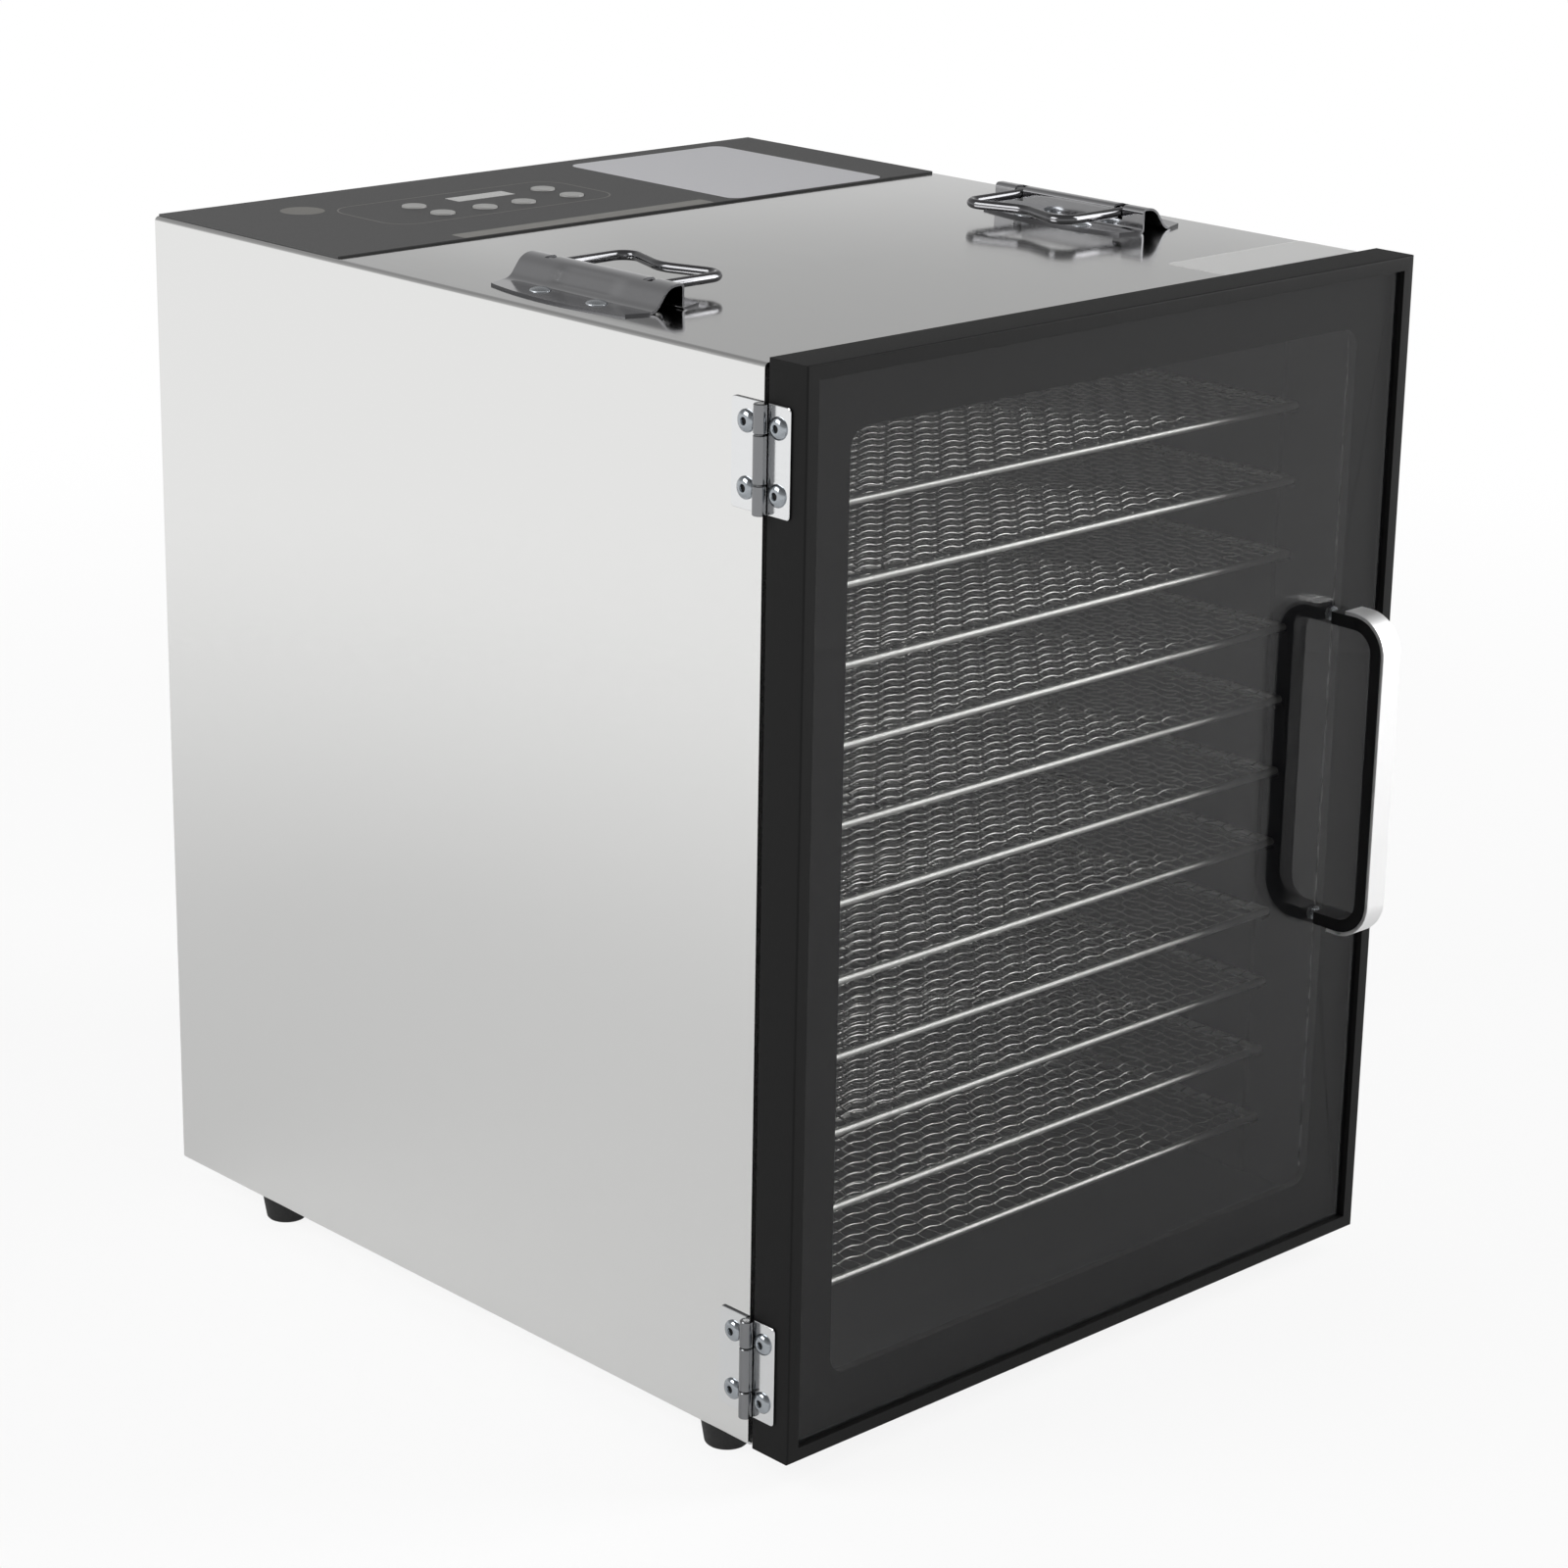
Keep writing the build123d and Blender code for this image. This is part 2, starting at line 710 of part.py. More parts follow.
# Feet: four tapered rubber blocks under the casing's flanges
foot_taper = degrees(atan((foot_top_diameter - foot_bottom_diameter) / 2 / foot_height))
foot_spread = cabinet_width - 2 * foot_from_side
foot_run = cabinet_depth - foot_from_front - foot_from_rear
with BuildPart() as feet:
    with BuildSketch(Plane.XY.offset(foot_height)):
        with Locations((centre_x, centre_y + (foot_from_front - foot_from_rear) / 2)):
            with GridLocations(foot_spread, foot_run, 2, 2):
                RegularPolygon(foot_top_diameter / 2, rivet_flats)
    extrude(amount=-foot_height, taper=foot_taper)
feet.part.label = "feet"
export_step(feet.part, "parts/feet.step")

# Power inlet: socket for a plug-in lead, its rim outside the rear panel
with BuildPart() as power_inlet:
    with BuildSketch(facing_front(back + inlet_rim)):
        with Locations(inlet_place):
            Rectangle(inlet_width + 2 * inlet_rim_margin, inlet_height + 2 * inlet_rim_margin)
    extrude(amount=inlet_rim)
    with BuildSketch(facing_front(back)):
        with Locations(inlet_place):
            Rectangle(inlet_width, inlet_height)
    extrude(amount=inlet_depth)
    with BuildSketch(facing_front(back + inlet_rim)):
        with Locations(inlet_place):
            Rectangle(inlet_width - 2 * inlet_wall, inlet_height - 2 * inlet_wall)
    extrude(amount=inlet_cavity, mode=Mode.SUBTRACT)
    inlet_floor = back + inlet_rim - inlet_cavity
    with BuildSketch(facing_front(inlet_floor)):
        with Locations(inlet_place):
            with Locations((-inlet_pin_spacing, 0), (0, inlet_pin_height / 2), (inlet_pin_spacing, 0)):
                Rectangle(inlet_pin_width, inlet_pin_height)
    extrude(amount=-inlet_pin_length)
power_inlet.part.label = "power_inlet"
export_step(power_inlet.part, "parts/power_inlet.step")

# Hinges on the left: the cabinet's leaf has the outer knuckles, the door's leaf the middle one
axis_x = left - hinge_offset
axis_y = front - door_gap / 2
hinge_levels = (top - hinge_inset, bottom + hinge_inset)
outer_knuckle = (hinge_height - middle_knuckle) / 2 - play
leaf_start = sqrt(knuckle_radius**2 - (hinge_offset - leaf_thickness) ** 2) + play
leaf_x = left - leaf_thickness / 2


def build_leaves(towards, reach, knuckles):
    """Both leaves of one side: plates on the left face, each with its knuckles round the pin."""
    leaf_length = abs(reach - axis_y) - leaf_start
    leaf_y = axis_y + towards * (leaf_start + leaf_length / 2)
    with BuildPart() as leaves:
        for level in hinge_levels:
            with BuildSketch(Plane.XY.offset(level - hinge_height / 2)):
                with Locations((leaf_x, leaf_y)):
                    Rectangle(leaf_thickness, leaf_length)
            extrude(amount=hinge_height)
            for start, height in knuckles:
                with BuildSketch(Plane.XY.offset(level + start)):
                    with Locations((axis_x, axis_y)):
                        RegularPolygon(knuckle_radius, rivet_flats)
                    with Locations((leaf_x, axis_y + towards * leaf_start / 2)):
                        Rectangle(leaf_thickness, leaf_start)
                    with Locations((axis_x, axis_y)):
                        Circle(pin_diameter / 2 + running_fit, mode=Mode.SUBTRACT)
                extrude(amount=height)
    return leaves


cabinet_hinge_leaves = build_leaves(
    1,
    front + cabinet_leaf_reach,
    ((-hinge_height / 2, outer_knuckle), (hinge_height / 2 - outer_knuckle, outer_knuckle)),
)
cabinet_hinge_leaves.part.label = "cabinet_hinge_leaves"
export_step(cabinet_hinge_leaves.part, "parts/cabinet_hinge_leaves.step")

door_hinge_leaves = build_leaves(
    -1, door_back - door_leaf_reach, ((-middle_knuckle / 2, middle_knuckle),)
)
door_hinge_leaves.part.label = "door_hinge_leaves"
export_step(door_hinge_leaves.part, "parts/door_hinge_leaves.step")

# Hinge pins
with BuildPart() as hinge_pins:
    for level in hinge_levels:
        with BuildSketch(Plane.XY.offset(level - hinge_height / 2)):
            with Locations((axis_x, axis_y)):
                Circle(pin_diameter / 2)
        extrude(amount=hinge_height)
hinge_pins.part.label = "hinge_pins"
export_step(hinge_pins.part, "parts/hinge_pins.step")

# Rivet heads on both hinge leaves
rivet_taper = degrees(atan((rivet_head - rivet_crown) / 2 / rivet_height))
cabinet_rivet_y = front + cabinet_leaf_reach / 2
door_rivet_y = door_back - door_leaf_reach / 2
rivet_levels = [
    level + shift
    for level in hinge_levels
    for shift in (-hinge_rivet_spacing / 2, hinge_rivet_spacing / 2)
]


def build_rivets(seat, places):
    """Raised rivet heads at the places of one seat, narrowing from the seat outwards."""
    with BuildPart() as rivets:
        with BuildSketch(seat):
            with Locations(*places):
                RegularPolygon(rivet_head / 2, rivet_flats)
        extrude(amount=rivet_height, taper=rivet_taper)
    return rivets


# The seat on the leaves faces left: local x runs against Y and local y is Z
leaf_face = Plane(origin=(left - leaf_thickness, 0, 0), x_dir=(0, -1, 0), z_dir=(-1, 0, 0))
cabinet_hinge_rivets = build_rivets(leaf_face, [(-cabinet_rivet_y, level) for level in rivet_levels])
cabinet_hinge_rivets.part.label = "cabinet_hinge_rivets"
export_step(cabinet_hinge_rivets.part, "parts/cabinet_hinge_rivets.step")

door_hinge_rivets = build_rivets(leaf_face, [(-door_rivet_y, level) for level in rivet_levels])
door_hinge_rivets.part.label = "door_hinge_rivets"
export_step(door_hinge_rivets.part, "parts/door_hinge_rivets.step")

# Door frame: lip round the glass, a web behind it with the rounded window, hollow at the back
glass_seat = door_front + glass_recess + glass_thickness
web_back = glass_seat + frame_web
with BuildPart() as door_frame:
    with BuildSketch(facing_front(door_back)):
        with Locations(door_centre):
            Rectangle(cabinet_width, door_height)
    extrude(amount=door_thickness)
    with BuildSketch(facing_front(door_back)):
        with Locations(door_centre):
            RectangleRounded(
                cabinet_width - 2 * window_margin, door_height - 2 * window_margin, window_radius
            )
    extrude(amount=door_thickness, mode=Mode.SUBTRACT)
    with BuildSketch(facing_front(glass_seat)):
        with Locations(door_centre):
            Rectangle(cabinet_width - 2 * frame_lip, door_height - 2 * frame_lip)
    extrude(amount=glass_seat - door_front, mode=Mode.SUBTRACT)
    with BuildSketch(facing_front(door_back)):
        with Locations(door_centre):
            Rectangle(cabinet_width - 2 * frame_wall, door_height - 2 * frame_wall)
    extrude(amount=door_back - web_back, mode=Mode.SUBTRACT)
    lip_edges = door_frame.faces().sort_by(Axis.Y)[0].outer_wire().edges()
    fillet(lip_edges, frame_edge)
door_frame.part.label = "door_frame"
export_step(door_frame.part, "parts/door_frame.step")

# Door glass: one tinted pane behind the lip, drilled for the handle's screws
grip_x = right - grip_from_right
grip_z = door_centre[1] + grip_rise
glass_front = door_front + glass_recess
with BuildPart() as door_glass:
    with BuildSketch(facing_front(glass_seat)):
        with Locations(door_centre):
            Rectangle(
                cabinet_width - 2 * (frame_lip + glass_play), door_height - 2 * (frame_lip + glass_play)
            )
        with Locations((grip_x, grip_z)):
            with GridLocations(0, grip_spacing, 1, 2):
                RegularPolygon(screw_diameter / 2 + screw_clearance, rivet_flats, mode=Mode.SUBTRACT)
    extrude(amount=glass_thickness)
door_glass.part.label = "door_glass"
export_step(door_glass.part, "parts/door_glass.step")

# Door gasket: soft strip on the back of the frame that meets the cabinet's front
with BuildPart() as door_gasket:
    with BuildSketch(facing_front(front - play)):
        with Locations((centre_x, (bottom + top) / 2)):
            Rectangle(cabinet_width - 2 * gasket_inset, cabinet_height - 2 * gasket_inset)
            Rectangle(
                cabinet_width - 2 * (gasket_inset + gasket_width),
                cabinet_height - 2 * (gasket_inset + gasket_width),
                mode=Mode.SUBTRACT,
            )
    extrude(amount=door_gap - play)
door_gasket.part.label = "door_gasket"
export_step(door_gasket.part, "parts/door_gasket.step")

# Magnetic catch: strike plate on the door and a magnet behind the front frame
catch_z = panel_centre[1]
strike_x = right - gasket_inset - gasket_width - strike_gap - strike_width / 2
with BuildPart() as catch_strike:
    with BuildSketch(facing_front(door_back + strike_thickness)):
        with Locations((strike_x, catch_z)):
            Rectangle(strike_width, strike_height)
    extrude(amount=strike_thickness)
catch_strike.part.label = "catch_strike"
export_step(catch_strike.part, "parts/catch_strike.step")

with BuildPart() as door_catch:
    with BuildSketch(facing_front(chamber_front + magnet_depth)):
        with Locations((right - sheet - side_space / 2, catch_z)):
            Rectangle(magnet_width, strike_height)
    extrude(amount=magnet_depth)
door_catch.part.label = "door_catch"
export_step(door_catch.part, "parts/door_catch.step")

# Door handle: dark bent bar on the glass, its outer face covered by a bright strip
grip_outer = door_front - grip_projection + grip_trim
grip_low = grip_z - (grip_spacing + grip_thickness) / 2
grip_high = grip_z + (grip_spacing + grip_thickness) / 2
grip_section = folded_section(
    (glass_front, grip_low),
    (grip_outer, grip_low),
    (grip_outer, grip_high),
    (glass_front, grip_high),
    radius=grip_bend,
    thickness=grip_thickness,
    side=Side.RIGHT,
)
with BuildPart() as handle_grip:
    with BuildSketch(facing_right(grip_x)):
        add(grip_section)
    extrude(amount=grip_width / 2, both=True)
    with BuildSketch(facing_front(glass_front)):
        with Locations((grip_x, grip_z)):
            with GridLocations(0, grip_spacing, 1, 2):
                RegularPolygon(screw_diameter / 2 + running_fit, rivet_flats)
    extrude(amount=screw_depth + play, mode=Mode.SUBTRACT)
handle_grip.part.label = "handle_grip"
export_step(handle_grip.part, "parts/handle_grip.step")

trim_section = folded_section(
    (door_front - trim_start, grip_low),
    (grip_outer, grip_low),
    (grip_outer, grip_high),
    (door_front - trim_start, grip_high),
    radius=grip_bend,
    thickness=grip_trim,
    side=Side.LEFT,
)
with BuildPart() as handle_trim:
    with BuildSketch(facing_right(grip_x)):
        add(trim_section)
    extrude(amount=grip_width / 2, both=True)
handle_trim.part.label = "handle_trim"
export_step(handle_trim.part, "parts/handle_trim.step")

# Handle screws: heads behind the glass, shanks through it into the legs of the grip
with BuildPart() as handle_screws:
    with BuildSketch(facing_front(glass_seat + screw_head_height)):
        with Locations((grip_x, grip_z)):
            with GridLocations(0, grip_spacing, 1, 2):
                RegularPolygon(screw_head / 2, wire_flats)
    extrude(amount=screw_head_height)
    with BuildSketch(facing_front(glass_seat)):
        with Locations((grip_x, grip_z)):
            with GridLocations(0, grip_spacing, 1, 2):
                RegularPolygon(screw_diameter / 2, rivet_flats)
    extrude(amount=glass_thickness + screw_depth)
handle_screws.part.label = "handle_screws"
export_step(handle_screws.part, "parts/handle_screws.step")

# Carry handle plate, drawn round its pivot: x inward, z up from the top of the cabinet.
# A flange to the outside, a slope up to the crest, an upright inner wall and an inner flange.
wall_inside = bail_wire / 2 + arm_play + play
slope_foot = -crest_reach - channel_slope
plate_outer = slope_foot - outer_flange
plate_inner = wall_inside + inner_flange
pivot_height = channel_height - play - bail_wire / 2
plate_section = folded_section(
    (plate_outer, 0),
    (slope_foot, 0),
    (-crest_reach, channel_height),
    (wall_inside, channel_height),
    (wall_inside, 0),
    (plate_inner, 0),
    radius=(foot_curve, crest_curve, wall_curve, wall_foot_curve),
    thickness=plate_sheet,
    side=Side.LEFT,
)
half_plate = plate_length / 2
slope_length = sqrt(channel_slope**2 + channel_height**2)
recess_place = (
    (slope_foot - crest_reach) / 2 - plate_sheet * channel_height / slope_length,
    channel_height / 2 + plate_sheet * channel_slope / slope_length,
)
recess_angle = degrees(atan2(channel_height, channel_slope))
with BuildPart() as handle_plate:
    with BuildSketch(facing_front(half_plate)):
        add(plate_section)
    extrude(amount=plate_length)
    # Bowed flanges
    with BuildSketch():
        with BuildLine():
            outer_bow = ThreePointArc(
                (slope_foot - plate_end_flange, -half_plate),
                (plate_outer, 0),
                (slope_foot - plate_end_flange, half_plate),
            )
            inner_bow = ThreePointArc(
                (wall_inside + inner_end_flange, half_plate),
                (plate_inner, 0),
                (wall_inside + inner_end_flange, -half_plate),
            )
            Line(outer_bow @ 1, inner_bow @ 0)
            Line(inner_bow @ 1, outer_bow @ 0)
        make_face()
    extrude(amount=channel_height + plate_sheet, mode=Mode.INTERSECT)
    # Slots over the crest, in which the arms of the bail swing up
    slot_inner = wall_inside + plate_sheet
    slot_outer = -bail_wire / 2 - arm_play
    with BuildSketch(Plane.XY.offset(pivot_height - bail_wire / 2 - play)):
        with Locations(((slot_inner + slot_outer) / 2, 0)):
            with GridLocations(0, bail_spacing, 1, 2):
                Rectangle(slot_inner - slot_outer, bail_wire + 2 * arm_play)
    extrude(amount=channel_height, mode=Mode.SUBTRACT)
    # Shallow pressed panel on the slope
    with BuildSketch(facing_front(recess_length / 2)):
        with Locations(recess_place):
            Rectangle(recess_width, 2 * recess_depth, rotation=recess_angle)
    extrude(amount=recess_length, mode=Mode.SUBTRACT)

# Bail: bent wire with arms to the inside, a dipped grip, and ends held in the channel
half_bail = bail_spacing / 2
with BuildLine(Plane.XY.offset(pivot_height)) as bail_bends:
    FilletPolyline(
        (0, -half_bail),
        (bail_reach, -half_bail),
        (bail_reach - bail_dip, 0),
        (bail_reach, half_bail),
        (0, half_bail),
        radius=(bail_corner, bail_bend, bail_corner),
    )
bail_path = straight_runs(bail_bends.wire(), bend_runs)
with BuildPart() as bail:
    with BuildSketch(Plane(origin=bail_path @ 0, z_dir=bail_path % 0)):
        RegularPolygon(bail_wire / 2, wire_flats)
    sweep(path=bail_path, transition=Transition.RIGHT)
    for end in (-1, 1):
        with BuildSketch(facing_front(end * (half_bail + bail_wire / 2))):
            with Locations((0, pivot_height)):
                RegularPolygon(bail_wire / 2, wire_flats)
        extrude(amount=end * (bail_trunnion + bail_wire / 2))

handle_y = front + plate_from_front
handle_stands = {
    "left": Location((left + plate_from_side, handle_y, top)),
    "right": Location((right - plate_from_side, handle_y, top), (0, 0, 180)),
}
for side, stand in handle_stands.items():
    with BuildPart() as placed_plate:
        with Locations(stand):
            add(handle_plate.part)
    placed_plate.part.label = f"{side}_handle_plate"
    export_step(placed_plate.part, f"parts/{side}_handle_plate.step")

    with BuildPart() as placed_bail:
        with Locations(stand):
            add(bail.part)
    placed_bail.part.label = f"{side}_bail"
    export_step(placed_bail.part, f"parts/{side}_bail.step")

# Rivet heads on the flanges of both handle plates
rivet_columns = (
    plate_from_side + plate_outer + outer_rivet_inset,
    plate_from_side + plate_inner - inner_rivet_inset,
)
handle_rivets = build_rivets(
    Plane.XY.offset(top + plate_sheet),
    [
        (x, handle_y + shift)
        for column in rivet_columns
        for x in (left + column, right - column)
        for shift in (-handle_rivet_spacing / 2, handle_rivet_spacing / 2)
    ],
)
handle_rivets.part.label = "handle_rivets"
export_step(handle_rivets.part, "parts/handle_rivets.step")
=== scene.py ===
from math import cos, pi, radians, sin, sqrt, tan

import bpy
import numpy as np
from mathutils import Matrix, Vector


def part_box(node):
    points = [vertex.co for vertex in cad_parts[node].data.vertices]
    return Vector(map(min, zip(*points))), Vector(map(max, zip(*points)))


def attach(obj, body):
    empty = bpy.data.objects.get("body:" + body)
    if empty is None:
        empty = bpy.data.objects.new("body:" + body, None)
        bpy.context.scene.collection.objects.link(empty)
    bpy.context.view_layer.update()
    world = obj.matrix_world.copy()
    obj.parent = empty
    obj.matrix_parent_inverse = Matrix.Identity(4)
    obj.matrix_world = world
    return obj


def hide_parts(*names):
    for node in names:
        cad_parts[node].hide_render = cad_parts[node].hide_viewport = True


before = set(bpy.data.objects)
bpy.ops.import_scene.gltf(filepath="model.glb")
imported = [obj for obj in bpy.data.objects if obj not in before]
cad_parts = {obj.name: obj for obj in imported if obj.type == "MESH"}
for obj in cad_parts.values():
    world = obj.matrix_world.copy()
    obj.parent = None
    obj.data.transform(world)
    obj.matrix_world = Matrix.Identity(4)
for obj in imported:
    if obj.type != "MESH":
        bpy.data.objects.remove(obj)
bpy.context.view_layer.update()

# Food dehydrator: stainless cabinet, tinted glass door, twelve wire trays, two carry handles.
# Pieces are drawn in millimetres in the frame of the CAD part: X right, door to -Y, Z up.


# Casing, base and front frame.
# 1 mm stainless sheet, polished to a mirror on the outside, bent over the top and down both sides.
# The base and the frame round the chamber are folded from the same sheet and spot welded in.
def linear(code):
    """A colour chosen as an sRGB hex code, in the linear values of a shader."""
    parts = [int(code[i : i + 2], 16) / 255 for i in (1, 3, 5)]
    return [c / 12.92 if c <= 0.04045 else ((c + 0.055) / 1.055) ** 2.4 for c in parts] + [1.0]


def put(tree, kind, inputs=None, **settings):
    """Adds a node with its settings, each input given a value or linked to an output."""
    node = tree.nodes.new(kind)
    for name, value in settings.items():
        setattr(node, name, value)
    for name, value in (inputs or {}).items():
        if isinstance(value, bpy.types.NodeSocket):
            tree.links.new(value, node.inputs[name])
        else:
            node.inputs[name].default_value = value
    return node


def new_finish(name, values, grain, roughness, height=0.0, stretch=(1, 1, 1), tones=None):
    """A material from its shader's values and one fine pattern.
    grain and height are the size and relief of the pattern in mm, roughness its lowest and
    highest value, stretch how much longer it runs along each axis, tones two colours it mixes."""
    # Values that the noise seldom leaves, and where on them the two tones are pure
    usual_noise = (0.3, 0.7)
    tone_stops = (0.35, 0.65)
    finish = bpy.data.materials.new(name)
    finish.use_nodes = True
    tree = finish.node_tree
    shader = tree.nodes["Principled BSDF"]
    for socket, value in values.items():
        shader.inputs[socket].default_value = value
    place = put(tree, "ShaderNodeTexCoord")
    per_metre = [1000 / (grain * s) for s in stretch]
    scaled = put(tree, "ShaderNodeMapping", {"Vector": place.outputs["Object"], "Scale": per_metre})
    noise = put(
        tree, "ShaderNodeTexNoise", {"Vector": scaled.outputs["Vector"], "Scale": 1.0, "Detail": 3.0}
    )
    spread = put(
        tree,
        "ShaderNodeMapRange",
        {
            "Value": noise.outputs["Fac"],
            "From Min": usual_noise[0],
            "From Max": usual_noise[1],
            "To Min": roughness[0],
            "To Max": roughness[1],
        },
    )
    tree.links.new(spread.outputs["Result"], shader.inputs["Roughness"])
    if tones:
        ramp = put(tree, "ShaderNodeValToRGB", {"Fac": noise.outputs["Fac"]})
        for stop, position, tone in zip(ramp.color_ramp.elements, tone_stops, tones):
            stop.position = position
            stop.color = linear(tone)
        tree.links.new(ramp.outputs["Color"], shader.inputs["Base Color"])
    if height:
        relief = put(
            tree, "ShaderNodeBump", {"Height": noise.outputs["Fac"], "Distance": height / 1000}
        )
        tree.links.new(relief.outputs["Normal"], shader.inputs["Normal"])
    return finish


def dress(finish, *nodes, edge=0.0):
    """Gives CAD nodes their finish, shades round stretches smooth, breaks edges by edge mm.
    The flat faces beside a broken edge stay shaded flat."""
    same_place = 1e-6
    # Edges sharper than fold are broken, and those sharper than facet part the shading
    fold = radians(40)
    facet = radians(30)
    for node in nodes:
        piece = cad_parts[node]
        piece.data.materials.clear()
        piece.data.materials.append(finish)
        piece.data.polygons.foreach_set("use_smooth", [True] * len(piece.data.polygons))
        weld = piece.modifiers.new("weld", "WELD")
        weld.merge_threshold = same_place
        if edge:
            bevel = piece.modifiers.new("broken_edges", "BEVEL")
            bevel.width = edge / 1000
            bevel.segments = 2
            bevel.limit_method = "ANGLE"
            bevel.angle_limit = fold
        split = piece.modifiers.new("sharp_edges", "EDGE_SPLIT")
        split.split_angle = facet
        if edge:
            piece.modifiers.new("level_faces", "WEIGHTED_NORMAL")


# Mirror polish: near white metal, crisp reflections with the faint drag of the polishing wheel
mirror_stainless = new_finish(
    "stainless_sheet_mirror_polished",
    {"Base Color": linear("#e3e3e2"), "Metallic": 1.0},
    grain=3.0,
    roughness=(0.085, 0.125),
    height=0.0006,
    stretch=(1, 12, 12),
)
dress(mirror_stainless, "outer_casing")

# 2B mill finish: the same steel as rolled, greyer and a little cloudy
mill_stainless = new_finish(
    "stainless_sheet_2b_rolled",
    {"Base Color": linear("#bdbdbc"), "Metallic": 1.0},
    grain=1.5,
    roughness=(0.22, 0.34),
    height=0.0005,
    stretch=(1, 1, 8),
)
dress(mill_stainless, "base_panel", "front_frame", edge=0.2)


# Rear panel and its screws.
# The same sheet with rows of pressed vent slots, lying in the casing's rear flange.
# Zinc plated pan head screws with a hexagon socket hold it on.
def combine(parts):
    """Several (points, faces) meshes as one."""
    points = []
    faces = []
    for part_points, part_faces in parts:
        start = len(points)
        points += [tuple(p) for p in part_points]
        faces += [tuple(start + i for i in face) for face in part_faces]
    return points, faces


def box_mm(node):
    """Lowest and highest corner of a CAD node, in mm."""
    return [[c * 1000 for c in corner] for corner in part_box(node)]


def new_mesh(name, shape, finish, crease=35):
    """A mesh from (points in mm, faces), shaded smooth but for edges sharper than crease degrees."""
    points, faces = shape
    mesh = bpy.data.meshes.new(name)
    mesh.from_pydata([[c / 1000 for c in p] for p in points], [], faces)
    mesh.validate()
    mesh.polygons.foreach_set("use_smooth", [True] * len(mesh.polygons))
    mesh.set_sharp_from_angle(angle=radians(crease))
    mesh.materials.append(finish)
    return mesh


def place_piece(name, mesh, body, nodes=(), level=0.0):
    """Puts a mesh level mm up as a piece that rides on a body and stands for the CAD nodes."""
    piece = bpy.data.objects.new(name, mesh)
    piece.location.z = level / 1000
    bpy.context.scene.collection.objects.link(piece)
    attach(piece, body)
    if nodes:
        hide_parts(*nodes)
    return piece


def add_piece(name, shape, finish, body, nodes=()):
    """Makes a piece whose points are drawn where it belongs."""
    return place_piece(name, new_mesh(name, shape, finish), body, nodes)


def turned(profile, sides, centre, axis=(0, 0, 1), across=(1, 0, 0), sockets=()):
    """A turned shape: profile is (radius, height) from the seat to the crown along axis.
    Rings named in sockets are hexagons across their radius. A radius of 0 closes an end."""
    along = np.array(axis, float)
    u = np.array(across, float)
    v = np.cross(along, u)
    points = []
    faces = []
    rings = []
    for number, (radius, height) in enumerate(profile):
        level = np.array(centre, float) + along * height
        if radius == 0:
            rings.append([len(points)])
            points.append(tuple(level))
            continue
        ring = []
        for i in range(sides):
            angle = 2 * pi * i / sides
            reach = radius
            if number in sockets:
                reach = radius * cos(pi / 6) / cos(angle % (pi / 3) - pi / 6)
            ring.append(len(points))
            points.append(tuple(level + reach * (cos(angle) * u + sin(angle) * v)))
        rings.append(ring)
    for low, high in zip(rings, rings[1:]):
        for i in range(sides):
            j = (i + 1) % sides
            if len(low) == 1:
                faces.append((low[0], high[j], high[i]))
            elif len(high) == 1:
                faces.append((low[i], low[j], high[0]))
            else:
                faces.append((low[i], low[j], high[j], high[i]))
    return points, faces


dress(mill_stainless, "rear_panel", edge=0.15)
rear_low, rear_high = box_mm("rear_panel")
# From the seat over the rounded rim, then down into the hexagon socket
pan_head = [(0, 0.0), (2.9, 0.0), (2.9, 0.5), (2.5, 1.3), (1.9, 1.7), (1.35, 1.8), (1.3, 0.7), (0, 0.6)]
socket_rings = (5, 6)
screw_sides = 24
screw_inset = 7.0
screw_middle = (rear_low[2] + rear_high[2]) / 2
rear_screws = [
    turned(pan_head, screw_sides, (x, rear_high[1], z), (0, 1, 0), (1, 0, 0), socket_rings)
    for x in (rear_low[0] + screw_inset, rear_high[0] - screw_inset)
    for z in (rear_low[2] + screw_inset, screw_middle, rear_high[2] - screw_inset)
]
# Zinc plate: pale and slightly blue, with an even soft gloss
zinc_plate = new_finish(
    "steel_zinc_plated",
    {"Base Color": linear("#c3c7cb"), "Metallic": 1.0},
    grain=0.6,
    roughness=(0.22, 0.36),
    height=0.001,
)
add_piece("rear_screws", combine(rear_screws), zinc_plate, "cabinet")


# Power inlet.
# Glass filled black nylon moulding that snaps into the rear panel, with three flat pins.
# Its mould was spark eroded, so the rim is evenly matt.

# Spark texture: evenly matt black, greyer where light grazes it
inlet_nylon = new_finish(
    "nylon_moulded_spark_texture",
    {"Base Color": linear("#151515")},
    grain=0.5,
    roughness=(0.42, 0.58),
    height=0.012,
)
dress(inlet_nylon, "power_inlet", edge=0.4)


# Drying chamber: liner, baffle, fan guard and racks.
# Folded 2B sheet, dull, its colour painted darker as shade; ladder racks of flat strip are spot welded to
# the walls.
# Behind tinted glass and between trays they catch little light.

# 2B sheet painted dark grey: painted shade for the dim chamber, soft, so the bright trays stand out before
#                             it
chamber_steel_painted_shade = new_finish(
    "stainless_sheet_2b_painted_shade",
    {"Base Color": linear("#555556"), "Metallic": 1.0},
    grain=1.2,
    roughness=(0.3, 0.45),
    height=0.0006,
    stretch=(1, 6, 1),
)
dress(chamber_steel_painted_shade, "chamber_liner", "air_baffle", "fan_guard", "left_rack", "right_rack", edge=0.15)


# Fan, motor, heater and sensor behind the baffle.
# Drawn steel can on a hat shaped strap, pressed aluminium impeller, sheathed heating ring in clips.
# The sheath is browned by heat; the sensor is a turned stainless probe through the baffle.

